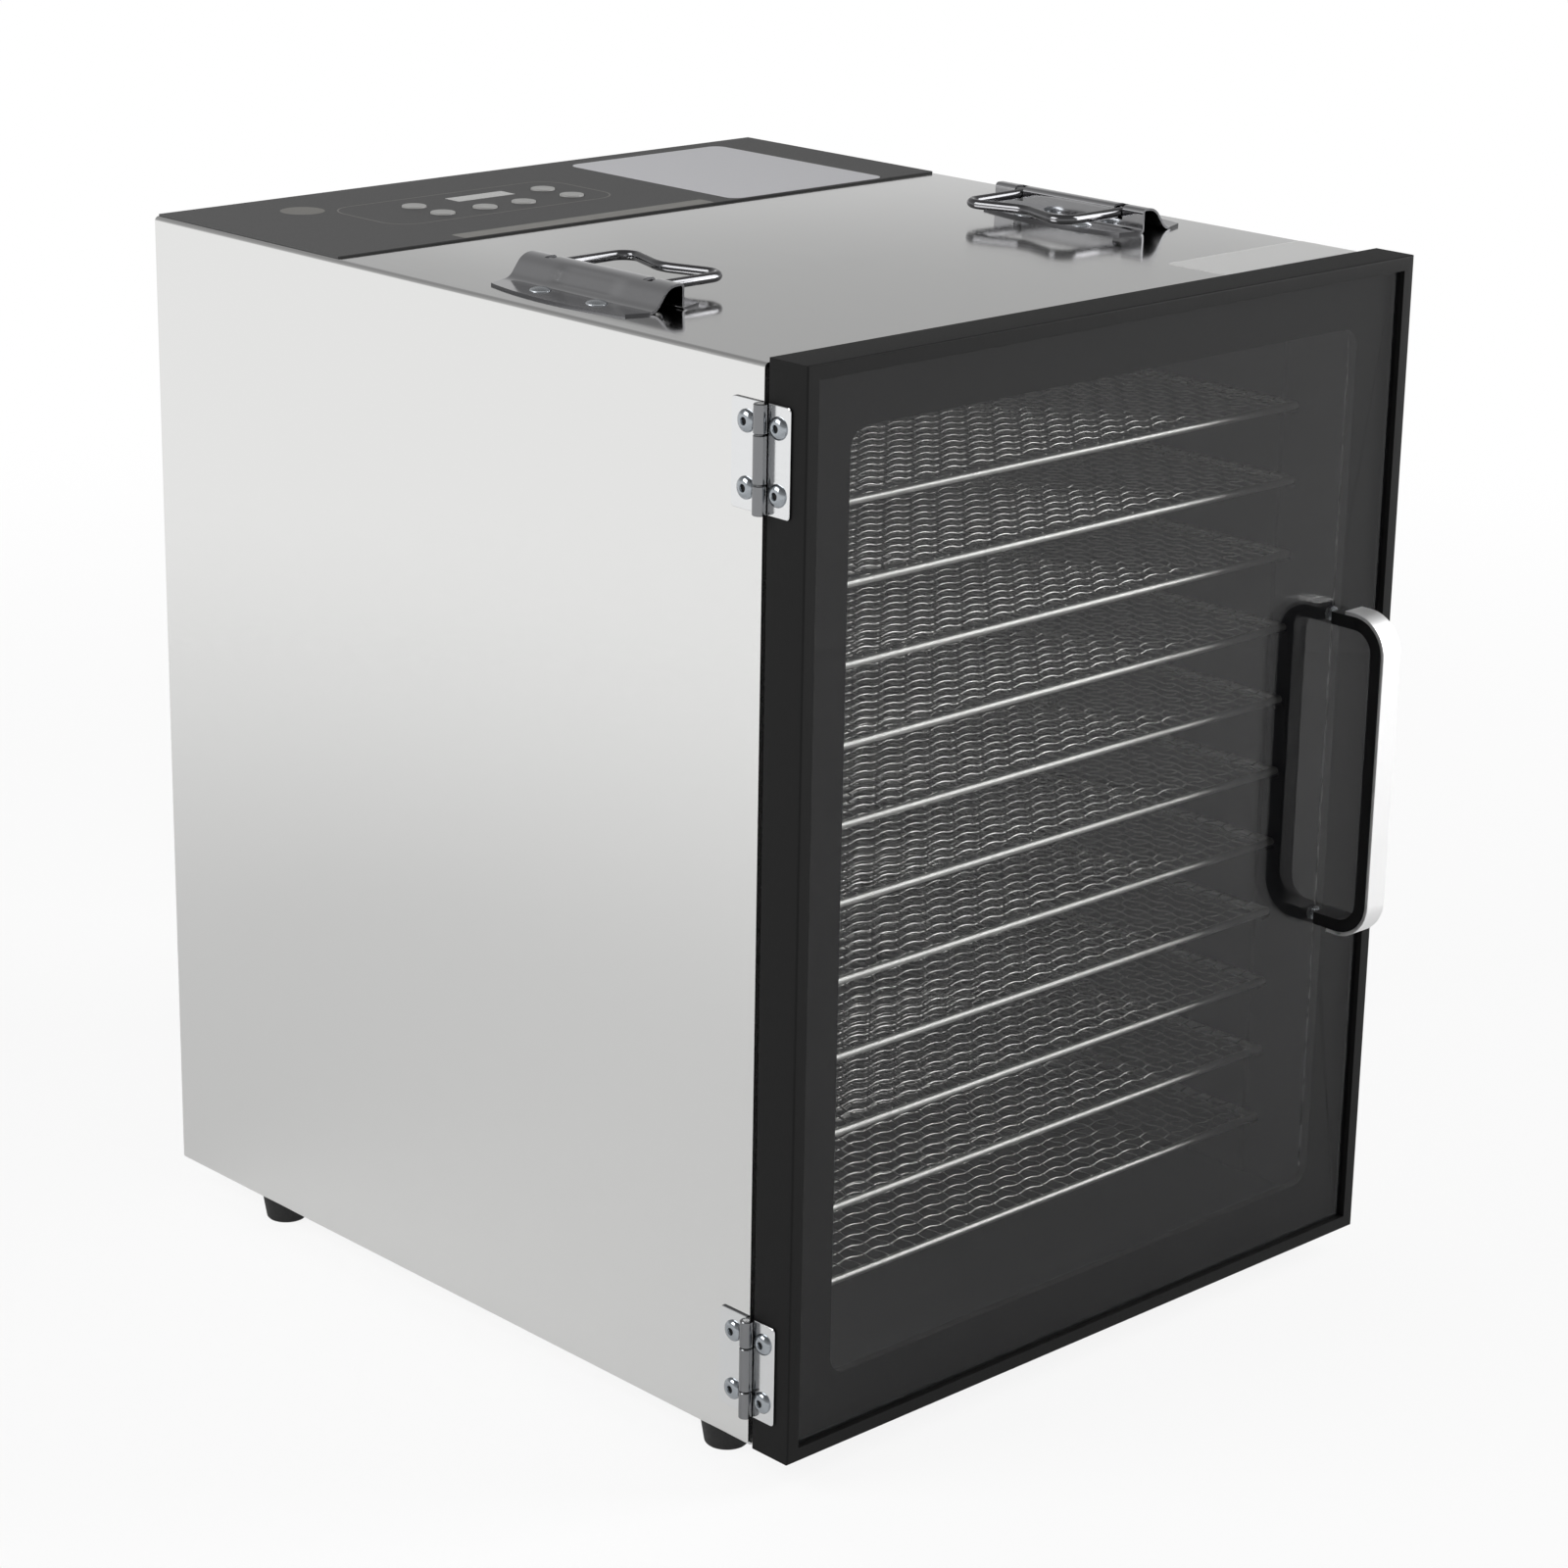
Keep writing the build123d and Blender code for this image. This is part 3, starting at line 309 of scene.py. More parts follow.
# Drawn can: grey, with soft streaks along the draw under a film of oil
drawn_steel = new_finish(
    "steel_drawn_oiled",
    {"Base Color": linear("#8c8d90"), "Metallic": 1.0},
    grain=0.8,
    roughness=(0.28, 0.42),
    height=0.003,
    stretch=(1, 8, 1),
)
dress(drawn_steel, "fan_motor", "motor_bracket", edge=0.4)
# Pressed aluminium: pale and evenly satin
pressed_aluminium = new_finish(
    "aluminium_pressed",
    {"Base Color": linear("#c9cacc"), "Metallic": 1.0},
    grain=1.0,
    roughness=(0.25, 0.4),
    height=0.004,
)
dress(pressed_aluminium, "fan_impeller", edge=0.3)
# Ground steel: bright, with fine rings round the shaft
ground_steel = new_finish(
    "steel_ground_shaft",
    {"Base Color": linear("#c8c8ca"), "Metallic": 1.0},
    grain=0.4,
    roughness=(0.14, 0.24),
    stretch=(1, 0.2, 1),
)
dress(ground_steel, "fan_shaft", "temperature_sensor", edge=0.2)
# Heat colour: brown and grey patches with a dull gloss
heater_alloy = new_finish(
    "nickel_alloy_heat_browned",
    {"Metallic": 1.0},
    grain=6.0,
    roughness=(0.34, 0.5),
    height=0.004,
    tones=("#5a4c42", "#6f6760"),
)
dress(heater_alloy, "heater_element")
dress(mill_stainless, "heater_clips", edge=0.15)


# Wire trays.
# 4 mm round bars front and rear and flat bars at the sides carry a net of crimped 1.2 mm wires,
# woven over and under and welded to the bars; the whole tray is electropolished after welding.
def lofted(sides, rings):
    """Faces that join rings of as many points each, closed at both ends."""
    faces = [
        (r * sides + i, r * sides + (i + 1) % sides, (r + 1) * sides + (i + 1) % sides, (r + 1) * sides + i)
        for r in range(rings - 1)
        for i in range(sides)
    ]
    faces.append(tuple(reversed(range(sides))))
    faces.append(tuple(range((rings - 1) * sides, rings * sides)))
    return faces


def swept(line, side, radius, sides, round_ends=False):
    """A round wire along a line of points that bends only square to the direction side."""
    cap_shares = (0.5, 0.87)
    line = np.array(line, float)
    steps = np.gradient(line, axis=0)
    steps /= np.linalg.norm(steps, axis=1)[:, None]
    b = np.array(side, float)
    n = np.cross(np.broadcast_to(b, steps.shape), steps)
    centres = list(line)
    normals = list(n)
    radii = [radius] * len(line)
    if round_ends:
        for share in cap_shares:
            out = radius * share
            shrunk = radius * sqrt(1 - share * share)
            centres = [line[0] - steps[0] * out] + centres + [line[-1] + steps[-1] * out]
            normals = [n[0]] + normals + [n[-1]]
            radii = [shrunk] + radii + [shrunk]
    points = []
    for centre, normal, reach in zip(centres, normals, radii):
        for i in range(sides):
            angle = 2 * pi * i / sides
            points.append(tuple(centre + reach * (cos(angle) * normal + sin(angle) * b)))
    return points, lofted(sides, len(centres))


def block(low, high, chamfer):
    """A bar between two corners with its long edges, along Y, chamfered."""
    x0, y0, z0 = low
    x1, y1, z1 = high
    c = chamfer
    outline = [
        (x0 + c, z0), (x1 - c, z0), (x1, z0 + c), (x1, z1 - c),
        (x1 - c, z1), (x0 + c, z1), (x0, z1 - c), (x0, z0 + c),
    ]
    points = [(x, y, z) for y in (y0, y1) for x, z in outline]
    return points, lofted(len(outline), 2)


tray_count = 12
tray_low, tray_high = box_mm("tray_01")
tray_left, tray_right = tray_low[0], tray_high[0]
bar_radius = 2.0
bar_sides = 20
side_bar = 3.0
side_chamfer = 0.6
bar_front = tray_low[1] + bar_radius
bar_rear = tray_high[1] - bar_radius
net_wire = 0.58
wire_sides = 6
net_crimp = 0.6
weld_depth = 0.1
net_height = bar_radius + net_wire - weld_depth
net_columns = 41
net_rows = 29
net_left = tray_left + side_bar / 2
column_pitch = (tray_right - tray_left - side_bar) / net_columns
row_pitch = (bar_rear - bar_front) / net_rows
steps_per_crossing = 5
crimp_sharpness = 1.6


def crimp(turns):
    """Height of a crimped wire, in crimps, turns crossings along it."""
    return np.tanh(crimp_sharpness * np.cos(pi * turns)) / np.tanh(crimp_sharpness)


tray_parts = [
    swept([(tray_left, y, 0), (tray_right, y, 0)], (0, 0, 1), bar_radius, bar_sides)
    for y in (bar_front, bar_rear)
]
for x in (tray_left, tray_right - side_bar):
    tray_parts.append(
        block((x, bar_front, -bar_radius), (x + side_bar, bar_rear, bar_radius), side_chamfer)
    )
bar_faces = len(combine(tray_parts)[1])
across_turns = np.linspace(0, net_columns, net_columns * steps_per_crossing + 1)
for row in range(1, net_rows):
    line = np.column_stack(
        (
            net_left + across_turns * column_pitch,
            np.full_like(across_turns, bar_front + row * row_pitch),
            net_height + net_crimp * crimp(across_turns + row),
        )
    )
    tray_parts.append(swept(line, (0, 1, 0), net_wire, wire_sides))
depth_turns = np.linspace(0, net_rows, net_rows * steps_per_crossing + 1)
for column in range(1, net_columns):
    line = np.column_stack(
        (
            np.full_like(depth_turns, net_left + column * column_pitch),
            bar_front + depth_turns * row_pitch,
            net_height - net_crimp * crimp(depth_turns + column) * np.clip(depth_turns, 0, 1),
        )
    )
    tray_parts.append(swept(line, (1, 0, 0), net_wire, wire_sides, round_ends=True))
# Electropolish: bright white metal, glossy on the thin drawn wires, so strokes flash on the crimps
bright_wire = new_finish(
    "stainless_wire_electropolished",
    {"Base Color": linear("#efefec"), "Metallic": 1.0},
    grain=0.5,
    roughness=(0.16, 0.24),
    height=0.0006,
    stretch=(6, 6, 1),
)
# The same bath on thick drawn bar leaves a softer gloss: one broad bright line along each bar
bright_bar = new_finish(
    "stainless_bar_electropolished",
    {"Base Color": linear("#efefec"), "Metallic": 1.0},
    grain=0.6,
    roughness=(0.34, 0.42),
    height=0.0006,
    stretch=(6, 6, 1),
)
# A wire of few sides turns by 60 degrees at each, and is still shaded round
wire_crease = 70
tray_mesh = new_mesh("wire_tray_01", combine(tray_parts), bright_wire, wire_crease)
tray_mesh.materials.append(bright_bar)
for polygon in tray_mesh.polygons[:bar_faces]:
    polygon.material_index = 1
for number in range(1, tray_count + 1):
    node = f"tray_{number:02d}"
    level = box_mm(node)[0][2] + bar_radius
    place_piece(f"wire_{node}", tray_mesh, node, [node], level)


# Control panel: overlay, display, board, switches and keys.
# Reverse printed polyester film, dark grey, on the rear third of the top, over a circuit board.
# Six moulded key caps stand a little proud of it and press small switches.

# Reverse print: dark grey seen through satin film, with an even soft gloss
overlay_film = new_finish(
    "polyester_film_reverse_printed_satin",
    {"Base Color": linear("#4c4c4c"), "Specular IOR Level": 0.3},
    grain=0.35,
    roughness=(0.42, 0.52),
    height=0.001,
)
dress(overlay_film, "control_overlay", edge=0.2)
# Blank display: pale grey reflective liquid crystal behind a clear gloss window
display_window = new_finish(
    "acrylic_window_over_blank_crystal",
    {"Base Color": linear("#c6c6c3"), "Coat Weight": 0.4, "Coat Roughness": 0.04},
    grain=0.3,
    roughness=(0.2, 0.3),
)
dress(display_window, "display_lens")
# Solder mask: deep green over the weave of the laminate
green_laminate = new_finish(
    "glass_epoxy_laminate_solder_masked",
    {},
    grain=1.4,
    roughness=(0.3, 0.45),
    height=0.01,
    tones=("#164a2c", "#1d5a37"),
)
dress(green_laminate, "control_board")
# Moulded nylon: black with a soft gloss
switch_plastic = new_finish(
    "nylon_moulded_switch_body",
    {"Base Color": linear("#1c1c1d")},
    grain=0.4,
    roughness=(0.4, 0.55),
    height=0.005,
)
dress(switch_plastic, "key_switches", edge=0.2)
# Key caps: grey plastic from a polished mould, with a soft even gloss
key_plastic = new_finish(
    "abs_moulded_key_cap_satin",
    {"Base Color": linear("#a3a3a1")},
    grain=0.25,
    roughness=(0.32, 0.46),
    height=0.004,
)
overlay_top = box_mm("control_overlay")[1][2]
key_nodes = (
    "rear_left_key", "rear_right_key", "front_key_1", "front_key_2", "front_key_3", "front_key_4",
)
key_sides = 48
skirt_radius, skirt_height = 8.0, 1.2
cap_radius = 6.5
dish_radius, dish_depth = 3.0, 0.14
for node in key_nodes:
    key_low, key_high = box_mm(node)
    key_centre = ((key_low[0] + key_high[0]) / 2, (key_low[1] + key_high[1]) / 2, key_low[2])
    key_height = key_high[2] - key_low[2]
    # Skirt below the overlay, cap with a rounded edge and a shallow dish in its top
    cap_profile = [
        (0, 0), (skirt_radius, 0), (skirt_radius, skirt_height), (cap_radius, skirt_height),
        (cap_radius, key_height - 0.55), (cap_radius - 0.12, key_height - 0.2),
        (cap_radius - 0.45, key_height - 0.02), (cap_radius - 0.9, key_height),
        (dish_radius, key_height - 0.1), (0, key_height - dish_depth),
    ]
    key_shape = turned(cap_profile, key_sides, key_centre)
    add_piece(f"cap_{node}", key_shape, key_plastic, node, [node])


# Printed outline, label and protective films on the top.
# A fine line printed on the overlay round the keys, a bare paper label with rounded corners,
# a strip of matt tape on the overlay's front edge and a clear sticker on the polished steel.
def rounded(low, high, radius, runs=8):
    """Corner points of a rectangle with rounded corners, anticlockwise."""
    corners = [
        (high[0] - radius, high[1] - radius, 0), (low[0] + radius, high[1] - radius, 90),
        (low[0] + radius, low[1] + radius, 180), (high[0] - radius, low[1] + radius, 270),
    ]
    return [
        (x + radius * cos(radians(start + 90 * i / runs)), y + radius * sin(radians(start + 90 * i / runs)))
        for x, y, start in corners
        for i in range(runs + 1)
    ]


def flat_plate(outline, bottom, top):
    """A thin level plate with that outline."""
    points = [(x, y, z) for z in (bottom, top) for x, y in outline]
    return points, lofted(len(outline), 2)


def flat_band(outer, inner, bottom, top):
    """A thin level band between two outlines with as many points each."""
    count = len(outer)
    points = [(x, y, z) for z in (bottom, top) for line in (outer, inner) for x, y in line]
    faces = []
    for i in range(count):
        j = (i + 1) % count
        faces.append((i, j, 2 * count + j, 2 * count + i))
        faces.append((count + j, count + i, 3 * count + i, 3 * count + j))
        faces.append((2 * count + i, 2 * count + j, 3 * count + j, 3 * count + i))
        faces.append((j, i, count + i, count + j))
    return points, faces


# Screen ink: flat grey, duller than the film under it
print_ink = new_finish(
    "screen_ink_grey_matt",
    {"Base Color": linear("#807e79")},
    grain=0.2,
    roughness=(0.4, 0.55),
    height=0.002,
)
ink_sunk, ink_height = 0.02, 0.03
ink_bottom, ink_top = overlay_top - ink_sunk, overlay_top + ink_height
line_width = 0.8
outline_low, outline_high = (-128.0, 152.0), (22.0, 214.0)
outline_radius = 16.0
line_outside = rounded(outline_low, outline_high, outline_radius)
line_inside = rounded(
    [c + line_width for c in outline_low],
    [c - line_width for c in outline_high],
    outline_radius - line_width,
)
add_piece(
    "printed_key_outline",
    flat_band(line_outside, line_inside, ink_bottom, ink_top),
    print_ink,
    "cabinet",
)
patch_x, patch_y, patch_radius = -139.0, 218.0, 11.5
patch_sides = 48
patch_angles = [2 * pi * i / patch_sides for i in range(patch_sides)]
round_patch = [(patch_radius * cos(a) + patch_x, patch_radius * sin(a) + patch_y) for a in patch_angles]
add_piece(
    "printed_round_patch",
    flat_plate(round_patch, ink_bottom, ink_top),
    print_ink,
    "cabinet",
)
# Coated paper: white with a cool cast, the faint mottle of paper fibres
label_paper = new_finish(
    "paper_label_coated",
    {},
    grain=0.5,
    roughness=(0.38, 0.5),
    height=0.006,
    tones=("#e6e6ea", "#ececf0"),
)
label_low, label_high, label_corner = (61.0, 107.5), (173.0, 243.0), 7.0
label_sunk, label_height = 0.02, 0.15
label_outline = rounded(label_low, label_high, label_corner)
add_piece(
    "bare_label",
    flat_plate(label_outline, overlay_top - label_sunk, overlay_top + label_height),
    label_paper,
    "cabinet",
)
# Matt tape: pale film that half hides what it covers
matt_tape = new_finish(
    "polypropylene_tape_matt",
    {"Base Color": linear("#b3b1ab"), "Alpha": 0.62},
    grain=1.5,
    roughness=(0.3, 0.45),
    height=0.006,
    stretch=(6, 1, 1),
)
tape_low, tape_high, tape_corner = (-122.0, 106.6), (46.0, 118.0), 1.5
tape_sunk, tape_height = 0.01, 0.08
tape_outline = rounded(tape_low, tape_high, tape_corner)
add_piece(
    "edge_tape",
    flat_plate(tape_outline, overlay_top - tape_sunk, overlay_top + tape_height),
    matt_tape,
    "cabinet",
)
# Clear sticker: frosted film, lighter than the steel's reflection below it
frosted_film = new_finish(
    "polyester_sticker_frosted",
    {"Base Color": linear("#f4f4f3"), "Alpha": 0.64},
    grain=0.8,
    roughness=(0.3, 0.42),
    height=0.004,
)
steel_top = box_mm("outer_casing")[1][2]
sticker_low, sticker_high, sticker_corner = (108.0, -193.0), (209.0, -154.0), 3.0
sticker_sunk, sticker_height = 0.01, 0.12
sticker_outline = rounded(sticker_low, sticker_high, sticker_corner)
add_piece(
    "bare_sticker",
    flat_plate(sticker_outline, steel_top - sticker_sunk, steel_top + sticker_height),
    frosted_film,
    "cabinet",
)


# Feet.
# Moulded black rubber, tapered, each held to the base by a screw sunk in its middle.

# Moulded rubber: dull black with a faint bloom
foot_rubber = new_finish(
    "rubber_moulded_matt",
    {},
    grain=1.2,
    roughness=(0.55, 0.75),
    height=0.02,
    tones=("#131313", "#1b1b1b"),
)
feet_low, feet_high = box_mm("feet")
foot_top, foot_sole = 13.0, 11.0
foot_height = feet_high[2]
well_radius, well_depth = 4.5, 5.0
# From the screw's well over the rounded rim of the sole, then up the taper
foot_profile = [
    (0, well_depth), (well_radius, well_depth), (well_radius, 0.6), (well_radius + 0.5, 0.0),
    (foot_sole - 2.0, 0.0), (foot_sole - 0.9, 0.35), (foot_sole - 0.25, 1.1), (foot_sole, 2.2),
    (foot_top, foot_height - 0.6), (foot_top - 0.4, foot_height), (0, foot_height),
]
foot_sides = 40
foot_shapes = [
    turned(foot_profile, foot_sides, (x, y, 0))
    for x in (feet_low[0] + foot_top, feet_high[0] - foot_top)
    for y in (feet_low[1] + foot_top, feet_high[1] - foot_top)
]
add_piece("rubber_feet", combine(foot_shapes), foot_rubber, "cabinet", ["feet"])


# Door hinges.
# Leaves stamped from 1.2 mm stainless strip and rolled round a pin: outer knuckles on the cabinet,
# the middle one on the door. Blind rivets hold them, each with a raised ring and a hollow middle.

# Satin roll: bright steel that still mirrors, drawn out along the rolling
satin_strip = new_finish(
    "stainless_strip_satin_rolled",
    {"Base Color": linear("#e2e3e4"), "Metallic": 1.0},
    grain=0.8,
    roughness=(0.1, 0.16),
    height=0.0002,
    stretch=(1, 10, 1),
)
pins_low, pins_high = box_mm("hinge_pins")
hinge_x, hinge_y = [(pins_low[i] + pins_high[i]) / 2 for i in (0, 1)]
hinge_half = 25.0
hinge_levels = (pins_high[2] - hinge_half, pins_low[2] + hinge_half)
middle_half = 11.0
knuckle_gap = 0.5
knuckle_radius = 3.2
bore_radius = 1.65
knuckle_sides = 32
strip_thickness = 1.2
leaf_inner = box_mm("cabinet_hinge_leaves")[1][0]
leaf_outer = leaf_inner - strip_thickness
leaf_start = 2.6
leaf_corner = 2.0
leaf_edge = 0.25
cabinet_leaf_end = box_mm("cabinet_hinge_leaves")[1][1]
door_leaf_end = box_mm("door_hinge_leaves")[0][1]


def hinge_leaf(level, y_pin, y_end, runs=6):
    """Stamped leaf between the pin and its free end, with rounded free corners and broken edges."""
    sign = 1 if y_end > y_pin else -1
    outline = [(y_pin, -hinge_half)]
    for start, centre_z in ((270, -hinge_half + leaf_corner), (0, hinge_half - leaf_corner)):
        for i in range(runs + 1):
            angle = radians(start + 90 * i / runs)
            y = y_end + sign * leaf_corner * (cos(angle) - 1)
            outline.append((y, centre_z + leaf_corner * sin(angle)))
    outline.append((y_pin, hinge_half))
    middle_y = (y_pin + y_end) / 2
    layers = ((leaf_inner, 0.0), (leaf_outer + leaf_edge, 0.0), (leaf_outer, leaf_edge))
    points = []
    for x, inset in layers:
        for y, z in outline:
            pull_y = inset if y < middle_y else -inset
            pull_z = inset if z < 0 else -inset
            points.append((x, y + pull_y, level + z + pull_z))
    return points, lofted(len(outline), len(layers))


def knuckle(low, high):
    """Rolled knuckle round the pin, its ends broken."""
    broken = 0.35
    profile = [
        (bore_radius, low), (knuckle_radius - broken, low), (knuckle_radius, low + broken),
        (knuckle_radius, high - broken), (knuckle_radius - broken, high), (bore_radius, high),
        (bore_radius, low),
    ]
    return turned(profile, knuckle_sides, (hinge_x, hinge_y, 0))


cabinet_leaves, cabinet_knuckles = [], []
door_leaves, door_knuckles = [], []
for level in hinge_levels:
    cabinet_leaves.append(hinge_leaf(level, hinge_y + leaf_start, cabinet_leaf_end))
    cabinet_knuckles.append(knuckle(level - hinge_half, level - middle_half - knuckle_gap))
    cabinet_knuckles.append(knuckle(level + middle_half + knuckle_gap, level + hinge_half))
    door_leaves.append(hinge_leaf(level, hinge_y - leaf_start, door_leaf_end))
    door_knuckles.append(knuckle(level - middle_half, level + middle_half))
# Sheared edge: the stamping leaves the strip's thickness torn and rough; its dark grey is painted shade
# along the leaf's outline
leaf_rim_painted_shade = new_finish(
    "stainless_strip_rim_painted_shade",
    {"Base Color": linear("#3c3c3e"), "Metallic": 1.0},
    grain=0.3,
    roughness=(0.4, 0.55),
    height=0.002,
)
# Rolled knuckle: painted darker grey than the flat of the leaf, as painted dark reflection along the roll
knuckle_painted_dark_reflection = new_finish(
    "stainless_strip_knuckle_painted_dark_reflection",
    {"Base Color": linear("#808183"), "Metallic": 1.0},
    grain=0.6,
    roughness=(0.1, 0.18),
    height=0.0003,
    stretch=(1, 1, 8),
)
# Faces whose normal leans out of the leaf by less than this are its sheared edges, which take the painted
# shade
edge_lean = 0.3
for body, leaves, knuckles in (
    ("cabinet", cabinet_leaves, cabinet_knuckles), ("door", door_leaves, door_knuckles)
):
    leaf_piece = add_piece(
        f"hinge_leaves_on_{body}", combine(leaves), satin_strip, body,
        [f"{body}_hinge_leaves"],
    )
    leaf_piece.data.materials.append(leaf_rim_painted_shade)
    for polygon in leaf_piece.data.polygons:
        polygon.material_index = int(abs(polygon.normal.x) < edge_lean)
    add_piece(f"hinge_knuckles_on_{body}", combine(knuckles), knuckle_painted_dark_reflection, body)
dress(ground_steel, "hinge_pins")
# Blind rivets: soft steel formed by the setting tool, bright on the ring; the hollow's shade is painted on
# the mandrel stub
formed_steel = new_finish(
    "steel_rivet_formed_bright",
    {"Base Color": linear("#a2a7ac"), "Metallic": 1.0},
    grain=0.7,
    roughness=(0.12, 0.2),
    height=0.0004,
)
# From the rim over the raised ring and down into the hollow
blind_rivet = [
    (5.3, 0.0), (5.3, 0.4), (5.0, 1.0), (4.2, 1.7), (3.2, 2.15), (2.4, 2.3), (1.9, 2.2), (1.65, 1.8),
    (1.5, 0.6), (0, 0.4),
]
# Mandrel stub: broken off deep in the hollow and rough; its near black is painted shade in the hollow
mandrel_painted_shade = new_finish(
    "steel_mandrel_painted_shade",
    {"Base Color": linear("#141415"), "Metallic": 0.6},
    grain=0.3,
    roughness=(0.5, 0.7),
    height=0.01,
)
mandrel_stub = [(1.48, 0.45), (1.48, 1.1), (1.1, 1.2), (0, 1.15)]
rivet_sides = 32
rivet_shift = 15.0
for body in ("cabinet", "door"):
    node = f"{body}_hinge_rivets"
    rivets_low, rivets_high = box_mm(node)
    rivet_y = (rivets_low[1] + rivets_high[1]) / 2
    heads, stubs = [
        [
            turned(profile, rivet_sides, (leaf_outer, rivet_y, level + shift), (-1, 0, 0), (0, 1, 0))
            for level in hinge_levels
            for shift in (-rivet_shift, rivet_shift)
        ]
        for profile in (blind_rivet, mandrel_stub)
    ]
    add_piece(f"formed_{node}", combine(heads), formed_steel, body, [node])
    add_piece(f"mandrel_stubs_on_{body}", combine(stubs), mandrel_painted_shade, body)


# Door frame, glass, gasket and catch.
# Black anodised aluminium section mitred at the corners, a tinted toughened pane sunk behind its lip,
# a foamed silicone strip against the cabinet and a steel strike for the magnet.

# Black anodising: near black with a soft sheen; the die's lines are drawn coarser than real, to show
black_anodised = new_finish(
    "aluminium_extrusion_black_anodised",
    {"Base Color": linear("#171717"), "Specular IOR Level": 0.12},
    grain=0.35,
    roughness=(0.46, 0.58),
    height=0.0003,
    stretch=(1, 1, 14),
)
dress(black_anodised, "door_frame")
# Grey tint: the chamber shows darkened through it, under clear reflections
tinted_glass = new_finish(
    "glass_toughened_grey_tinted",
    {"Base Color": linear("#141416"), "Alpha": 0.3, "IOR": 1.6, "Specular IOR Level": 0.8},
    grain=40.0,
    roughness=(0.015, 0.03),
)
dress(tinted_glass, "door_glass")
# Foamed silicone: dull black, finely pitted
gasket_foam = new_finish(
    "silicone_foam_extruded",
    {},
    grain=0.7,
    roughness=(0.6, 0.8),
    height=0.03,
    tones=("#161616", "#202020"),
)
dress(gasket_foam, "door_gasket", edge=0.6)
dress(zinc_plate, "catch_strike", "door_catch", edge=0.2)


# Door handle.
# A bent black aluminium core, its outer face covered by a satin brushed aluminium strip.
# Two screws through the glass hold it.

# Black anodised bar: dark, with a soft sheen round its bends
core_anodised = new_finish(
    "aluminium_bar_black_anodised",
    {"Base Color": linear("#0f0f10"), "Specular IOR Level": 0.25},
    grain=0.3,
    roughness=(0.4, 0.52),
    height=0.001,
)
dress(core_anodised, "handle_grip", edge=0.6)
# Satin brushing: pale metal that spreads each reflection; its lines are drawn coarser than real, to show
brushed_strip = new_finish(
    "aluminium_strip_satin_brushed",
    {"Base Color": linear("#ececec"), "Metallic": 1.0},
    grain=0.25,
    roughness=(0.42, 0.54),
    height=0.0004,
    stretch=(1, 30, 30),
)
dress(brushed_strip, "handle_trim", edge=0.35)
dress(zinc_plate, "handle_screws", edge=0.2)


# Carry handles.
# Chromed steel pressings with bowed flanges, a sloped pressed panel and an open channel;
# a bent 5 mm bail, nickel plated, turns in each channel. Domed rivets hold the flanges.

# Chrome plate: dark and bright reflections side by side, with almost no texture
bright_chrome = new_finish(
    "steel_pressing_chrome_plated",
    {"Base Color": linear("#b9b9bb"), "Metallic": 1.0},
    grain=2.0,
    roughness=(0.08, 0.14),
    height=0.0004,
)
left_low, left_high = box_mm("left_handle_plate")
right_high = box_mm("right_handle_plate")[1]
handle_y = (left_low[1] + left_high[1]) / 2
plate_half = (left_high[1] - left_low[1]) / 2
plate_sheet = 1.2
outer_edge, outer_corner = -34.0, -28.0
inner_edge, inner_corner = 23.2, 17.2
corner_sweep = 0.08
handle_stands = (("left", left_low[0] - outer_edge, 1), ("right", right_high[0] + outer_edge, -1))
# Corners and bends of the section: outer flange, slope, crest, upright wall, inner flange
section_runs = 8
section_bends = [(-22, 0, 0), (-13, 0, 8), (-4.5, 11.3, 9), (3.2, 11.3, 1), (3.2, 0, 2), (8, 0, 0)]
# The panel is pressed in between these heights of the slope, and runs out between these places along it
panel_depth = 0.8
panel_foot, panel_head = (1.5, 3.5), (9.0, 10.6)
panel_ends = (15.0, 27.0)
# Slots in the crest and the wall let the arms of the bail through
arm_y = 35.0
arm_slot_half = 2.9
slot_x, slot_z = -3.4, 5.4
station_count = 53
flange_shares = (1.0, 0.8, 0.6, 0.4, 0.2)


def bent_line(bends, runs=10):
    """Points along a bent wire: each bend is its corner and its radius."""
    line = [np.array(bends[0][:2], float)]
    for before, here, after in zip(bends, bends[1:], bends[2:]):
        corner = np.array(here[:2], float)
        back = np.array(before[:2], float) - corner
        on = np.array(after[:2], float) - corner
        back /= np.linalg.norm(back)
        on /= np.linalg.norm(on)
        half = np.arccos(np.dot(back, on)) / 2
        reach = here[2] / tan(half)
        middle = corner + (back + on) / np.linalg.norm(back + on) * here[2] / sin(half)
        start = corner + back * reach - middle
        end = corner + on * reach - middle
        sweep = pi - 2 * half
        for i in range(runs + 1):
            share = i / runs
            line.append(
                middle + (sin((1 - share) * sweep) * start + sin(share * sweep) * end) / sin(sweep)
            )
    line.append(np.array(bends[-1][:2], float))
    return line


def eased(value, start, end):
    """0 before start, 1 after end, smooth between them."""
    share = np.clip((value - start) / (end - start), 0, 1)
    return share * share * (3 - 2 * share)


def bow(edge, corner, y):
    """Bowed edge of a flange at y: edge in the middle, corner at both ends."""
    rise = abs(corner - edge)
    radius = (plate_half**2 + rise**2) / (2 * rise)
    fall = radius - sqrt(radius**2 - y**2)
    return edge + fall if corner > edge else edge - fall


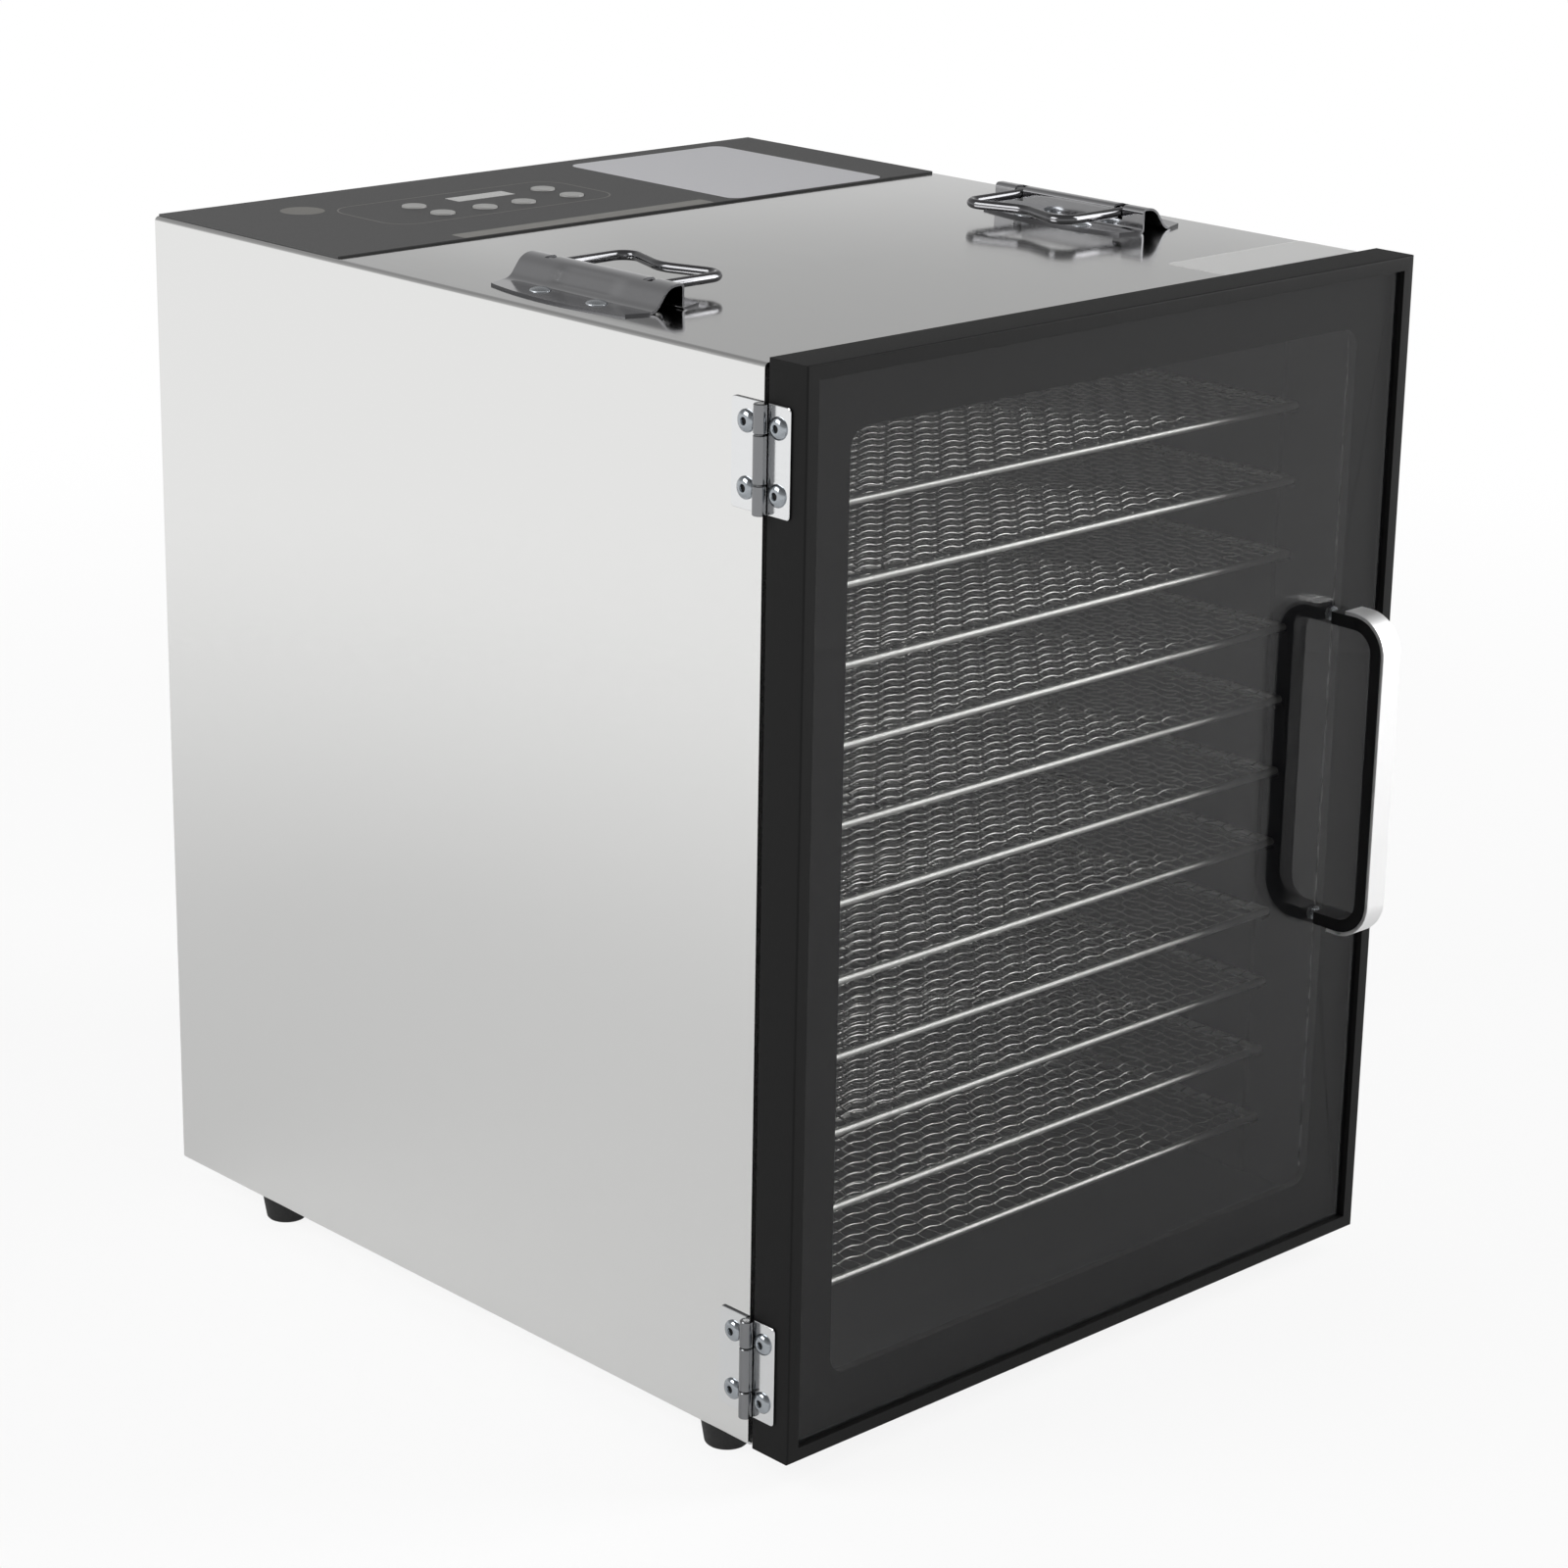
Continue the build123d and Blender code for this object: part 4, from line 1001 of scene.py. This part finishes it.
def handle_plate():
    """Pressed plate round its pivot, x inward: flange, slope, crest, upright wall, flange.
    Returns points, faces and the numbers of the faces on its sheared rims."""
    bends = bent_line(section_bends, section_runs)[1:-1]
    line = [bends[0]]
    for point in bends[1:]:
        parts = max(1, round(np.linalg.norm(point - line[-1])))
        start = line[-1]
        line += [start + (point - start) * (i + 1) / parts for i in range(parts)]
    line = np.array(line)
    along = np.gradient(line, axis=0)
    along /= np.linalg.norm(along, axis=1)[:, None]
    out = np.column_stack((-along[:, 1], along[:, 0]))
    rise = line[:, 1]
    on_slope = eased(rise, *panel_foot) * (1 - eased(rise, *panel_head)) * (line[:, 0] < 0)
    stations = np.linspace(-plate_half, plate_half, station_count)
    arm_edges = [s * arm_y + e * arm_slot_half for s in (-1, 1) for e in (-1, 1)]
    stations = np.unique(np.round(np.append(stations, arm_edges), 3))
    under, over, cells = [], [], []
    for y in stations:
        pressed = panel_depth * (1 - eased(abs(y), *panel_ends))
        row = []
        for share in flange_shares:
            x = line[0][0] + share * (bow(outer_edge, outer_corner, y) - line[0][0])
            row.append(((x, 0.0), (0.0, 1.0), y * (1 - corner_sweep * share)))
        for place, normal, slope in zip(line, out, on_slope):
            row.append((place - normal * pressed * slope, normal, y))
        for share in reversed(flange_shares):
            x = line[-1][0] + share * (bow(inner_edge, inner_corner, y) - line[-1][0])
            row.append(((x, 0.0), (0.0, 1.0), y * (1 - corner_sweep * share)))
        under.append([(x, at, z) for (x, z), _, at in row])
        over.append([(x + plate_sheet * n[0], at, z + plate_sheet * n[1]) for (x, z), n, at in row])
    rows, columns = len(stations), len(under[0])
    for r in range(rows - 1):
        for c in range(columns - 1):
            x = (under[r][c][0] + under[r][c + 1][0]) / 2
            z = (under[r][c][2] + under[r][c + 1][2]) / 2
            y = (stations[r] + stations[r + 1]) / 2
            if abs(abs(y) - arm_y) < arm_slot_half and x > slot_x and z > slot_z:
                continue
            cells.append((r, c))
    kept = set(cells)
    layer = rows * columns
    points = [point for grid in (under, over) for row in grid for point in row]
    faces, rims = [], []
    for r, c in cells:
        a, b = r * columns + c, r * columns + c + 1
        d, e = a + columns, b + columns
        faces.append((a, d, e, b))
        faces.append((layer + a, layer + b, layer + e, layer + d))
        sides = (((r - 1, c), a, b), ((r, c + 1), b, e), ((r + 1, c), e, d), ((r, c - 1), d, a))
        for beside, first, last in sides:
            if beside not in kept:
                rims.append(len(faces))
                faces.append((first, last, layer + last, layer + first))
    return points, faces, rims


# Chrome over a sheared edge: softer than the faces, and painted dark grey as shade along the rims
plate_rim_painted_shade = new_finish(
    "steel_chrome_plated_rim_painted_shade",
    {"Base Color": linear("#5a5a5c"), "Metallic": 1.0},
    grain=0.4,
    roughness=(0.3, 0.42),
    height=0.002,
)
plate_points, plate_faces, plate_rims = handle_plate()
for side, stand_x, turn in handle_stands:
    placed = [(stand_x + turn * x, handle_y + turn * y, steel_top + z) for x, y, z in plate_points]
    plate_piece = add_piece(
        f"{side}_pressed_plate", (placed, plate_faces), bright_chrome, "cabinet",
        [f"{side}_handle_plate"],
    )
    plate_piece.data.materials.append(plate_rim_painted_shade)
    for number in plate_rims:
        plate_piece.data.polygons[number].material_index = 1


def softened(line, bend, trunnion, runs=6):
    """The bail's line with its turned in ends, trunnion long, joined by tight bends."""
    first, last = line[0], line[-1]
    lead = [np.array((first[0], first[1] + trunnion))]
    tail = [np.array((last[0], last[1] - trunnion))]
    for i in range(runs + 1):
        angle = radians(90 * i / runs)
        shift = np.array((bend * (1 - cos(angle)), bend * (1 - sin(angle))))
        lead.append(np.array((first[0] + shift[0], first[1] + shift[1])))
        tail.insert(0, np.array((last[0] + shift[0], last[1] - shift[1])))
    return lead + line[1:-1] + tail


# Bright nickel on drawn wire: darker than the chrome, its colour painted darker still as dark reflection,
# with thin clear highlights
nickel_wire_painted_dark_reflection = new_finish(
    "steel_wire_nickel_plated_painted_dark_reflection",
    {"Base Color": linear("#707072"), "Metallic": 1.0},
    grain=0.8,
    roughness=(0.12, 0.18),
)
bail_low, bail_high = box_mm("left_bail")
bail_level = (bail_low[2] + bail_high[2]) / 2
bail_radius = 2.5
bail_sides = 24
bail_reach, bail_corner = 48.0, 8.0
grip_reach, grip_bend = 36.0, 22.0
trunnion_bend, trunnion_length = 3.0, 22.0
bail_bends = [
    (0, -arm_y, 0), (bail_reach, -arm_y, bail_corner), (grip_reach, 0, grip_bend),
    (bail_reach, arm_y, bail_corner), (0, arm_y, 0),
]
bail_line = softened(bent_line(bail_bends), trunnion_bend, trunnion_length)
for side, stand_x, turn in handle_stands:
    placed = [(stand_x + turn * p[0], handle_y + turn * p[1], bail_level) for p in bail_line]
    add_piece(
        f"{side}_bail_wire", swept(placed, (0, 0, 1), bail_radius, bail_sides, round_ends=True),
        nickel_wire_painted_dark_reflection, f"{side}_bail", [f"{side}_bail"],
    )
rivet_columns = (-21.0, 15.2)
rivet_row = 20.0
# From the rim to the crown
dome = [(5.2, 0.0), (5.15, 0.3), (4.6, 0.7), (3.4, 1.2), (1.8, 1.55), (0, 1.7)]
dome_rivets = [
    turned(dome, rivet_sides, (stand_x + turn * column, handle_y + shift, steel_top + plate_sheet))
    for _, stand_x, turn in handle_stands
    for column in rivet_columns
    for shift in (-rivet_row, rivet_row)
]
add_piece(
    "domed_handle_rivets", combine(dome_rivets), zinc_plate, "cabinet", ["handle_rivets"]
)


# Studio, in metres: floor, surround, three softboxes and the camera.
# A white sweep whose floor lets most of the white surround through, so only a soft shadow stays.
# A tall strip and a low box on the right light the wires behind the glass; one above left fills in.

# Matt paper: a faint shadow to the camera, but a full white floor in the mirrors of steel and glass
floor_paper = bpy.data.materials.new("paper_sweep_matt_white")
floor_paper.use_nodes = True
floor_tree = floor_paper.node_tree
floor_tree.nodes.remove(floor_tree.nodes["Principled BSDF"])
paper_seen, paper_mirrored = 0.12, 0.75
# The paper fades out between these distances from the middle
floor_fade = (0.7, 2.0)
floor_place = put(floor_tree, "ShaderNodeTexCoord")
floor_reach = put(
    floor_tree, "ShaderNodeVectorMath", {0: floor_place.outputs["Object"]}, operation="LENGTH"
)
floor_fall = put(
    floor_tree,
    "ShaderNodeMapRange",
    {
        "Value": floor_reach.outputs["Value"],
        "From Min": floor_fade[0],
        "From Max": floor_fade[1],
        "To Min": 1.0,
        "To Max": 0.0,
    },
    interpolation_type="SMOOTHSTEP",
)
floor_ray = put(floor_tree, "ShaderNodeLightPath")
floor_paper_share = put(
    floor_tree,
    "ShaderNodeMapRange",
    {"Value": floor_ray.outputs["Is Camera Ray"], "To Min": paper_mirrored, "To Max": paper_seen},
)
floor_share = put(
    floor_tree,
    "ShaderNodeMath",
    {0: floor_fall.outputs["Result"], 1: floor_paper_share.outputs["Result"]},
    operation="MULTIPLY",
)
floor_clear = put(floor_tree, "ShaderNodeBsdfTransparent")
floor_matt = put(floor_tree, "ShaderNodeBsdfDiffuse", {"Color": linear("#f4f4f4")})
floor_mix = put(
    floor_tree,
    "ShaderNodeMixShader",
    {0: floor_share.outputs["Value"], 1: floor_clear.outputs["BSDF"], 2: floor_matt.outputs["BSDF"]},
)
floor_tree.links.new(floor_mix.outputs["Shader"], floor_tree.nodes["Material Output"].inputs["Surface"])
floor_mesh = bpy.data.meshes.new("studio_floor")
floor_half = 2.4
floor_corners = [(floor_half * x, floor_half * y, 0) for x, y in ((-1, -1), (1, -1), (1, 1), (-1, 1))]
floor_mesh.from_pydata(floor_corners, [], [(0, 1, 2, 3)])
floor_mesh.materials.append(floor_paper)
studio_floor = bpy.data.objects.new("studio_floor", floor_mesh)
bpy.context.scene.collection.objects.link(studio_floor)

# Surround: white below the horizon, falling to grey and then darker overhead
surround = bpy.data.worlds.new("studio_surround")
bpy.context.scene.world = surround
surround.use_nodes = True
sky_tree = surround.node_tree
sky_place = put(sky_tree, "ShaderNodeTexCoord")
sky_parts = put(sky_tree, "ShaderNodeSeparateXYZ", {"Vector": sky_place.outputs["Generated"]})
# The studio's wall ends to the right, so the surround is darker there
wall_end, wall_shade = (0.62, 0.76), 0.07
sky_turn = put(
    sky_tree,
    "ShaderNodeMapRange",
    {
        "Value": sky_parts.outputs["X"],
        "From Min": wall_end[0],
        "From Max": wall_end[1],
        "To Min": 0.0,
        "To Max": wall_shade,
    },
)
sky_height = put(
    sky_tree,
    "ShaderNodeMath",
    {0: sky_parts.outputs["Z"], 1: sky_turn.outputs["Result"]},
    operation="ADD",
)
sky_shade = put(sky_tree, "ShaderNodeValToRGB", {"Fac": sky_height.outputs["Value"]})
# Height of a direction above the horizon, 1 straight up, and the level of light there
sky_stops = [(0.0, 1.0), (0.12, 0.8), (0.175, 0.62), (0.22, 0.46), (0.5, 0.36), (0.8, 0.22)]
while len(sky_shade.color_ramp.elements) < len(sky_stops):
    sky_shade.color_ramp.elements.new(0.5)
for stop, (height, level) in zip(sky_shade.color_ramp.elements, sky_stops):
    stop.position = height
    stop.color = (level, level, level, 1.0)
sky_light = sky_tree.nodes["Background"]
sky_tree.links.new(sky_shade.outputs["Color"], sky_light.inputs["Color"])
sky_light.inputs["Strength"].default_value = 1.0


def add_softbox(name, place, aim, width, height, watts):
    """A rectangular softbox at place, turned to the point aim."""
    lamp = bpy.data.lights.new(name, "AREA")
    lamp.shape = "RECTANGLE"
    lamp.size = width
    lamp.size_y = height
    lamp.energy = watts
    softbox = bpy.data.objects.new(name, lamp)
    softbox.location = place
    ahead = np.array(aim, float) - np.array(place, float)
    ahead /= np.linalg.norm(ahead)
    aside = np.cross(ahead, (0, 0, 1))
    aside /= np.linalg.norm(aside)
    above = np.cross(aside, ahead)
    softbox.rotation_euler = Matrix((aside, above, -ahead)).transposed().to_euler()
    softbox.visible_camera = False
    bpy.context.scene.collection.objects.link(softbox)
    return softbox


strip_softbox = add_softbox(
    "strip_softbox_right", place=(1.48, -1.22, 1.7), aim=(0, 0, 1.7), width=0.9, height=2.4, watts=38.0
)
# The strip is flagged off the flat pieces of the top, which would mirror it to a view from behind
strip_flag = bpy.data.collections.new("flagged_from_strip")
flat_pieces = (
    "outer_casing", "control_overlay", "display_lens", "bare_label", "edge_tape", "printed_key_outline",
    "printed_round_patch",
)
for flat_piece in flat_pieces:
    strip_flag.objects.link(bpy.data.objects[flat_piece])
for entry in strip_flag.collection_objects:
    entry.light_linking.link_state = "EXCLUDE"
strip_softbox.light_linking.receiver_collection = strip_flag
add_softbox(
    "low_softbox_right", place=(2.75, -3.0, 0.75), aim=(0, -0.2, 0.75), width=1.2, height=0.8, watts=16.0
)
add_softbox(
    "key_softbox_left", place=(-1.9, 0.7, 1.7), aim=(-0.1, 0, 0.2), width=1.4, height=1.4, watts=28.0
)

# Camera: a long lens in front and to the left; its tilt would be 90 degrees on the level
camera = bpy.data.cameras.new("camera")
camera.sensor_width = 36.0
camera.lens = 92.885
camera.clip_end = 50.0
camera_place = (-1.38297, -1.45047, 0.90233)
camera_tilt, camera_roll, camera_heading = 71.998828, -0.970502, -43.362285
viewpoint = bpy.data.objects.new("camera", camera)
viewpoint.location = camera_place
viewpoint.rotation_euler = [radians(a) for a in (camera_tilt, camera_roll, camera_heading)]
bpy.context.scene.collection.objects.link(viewpoint)
bpy.context.scene.camera = viewpoint
bpy.context.scene.view_settings.view_transform = "Standard"
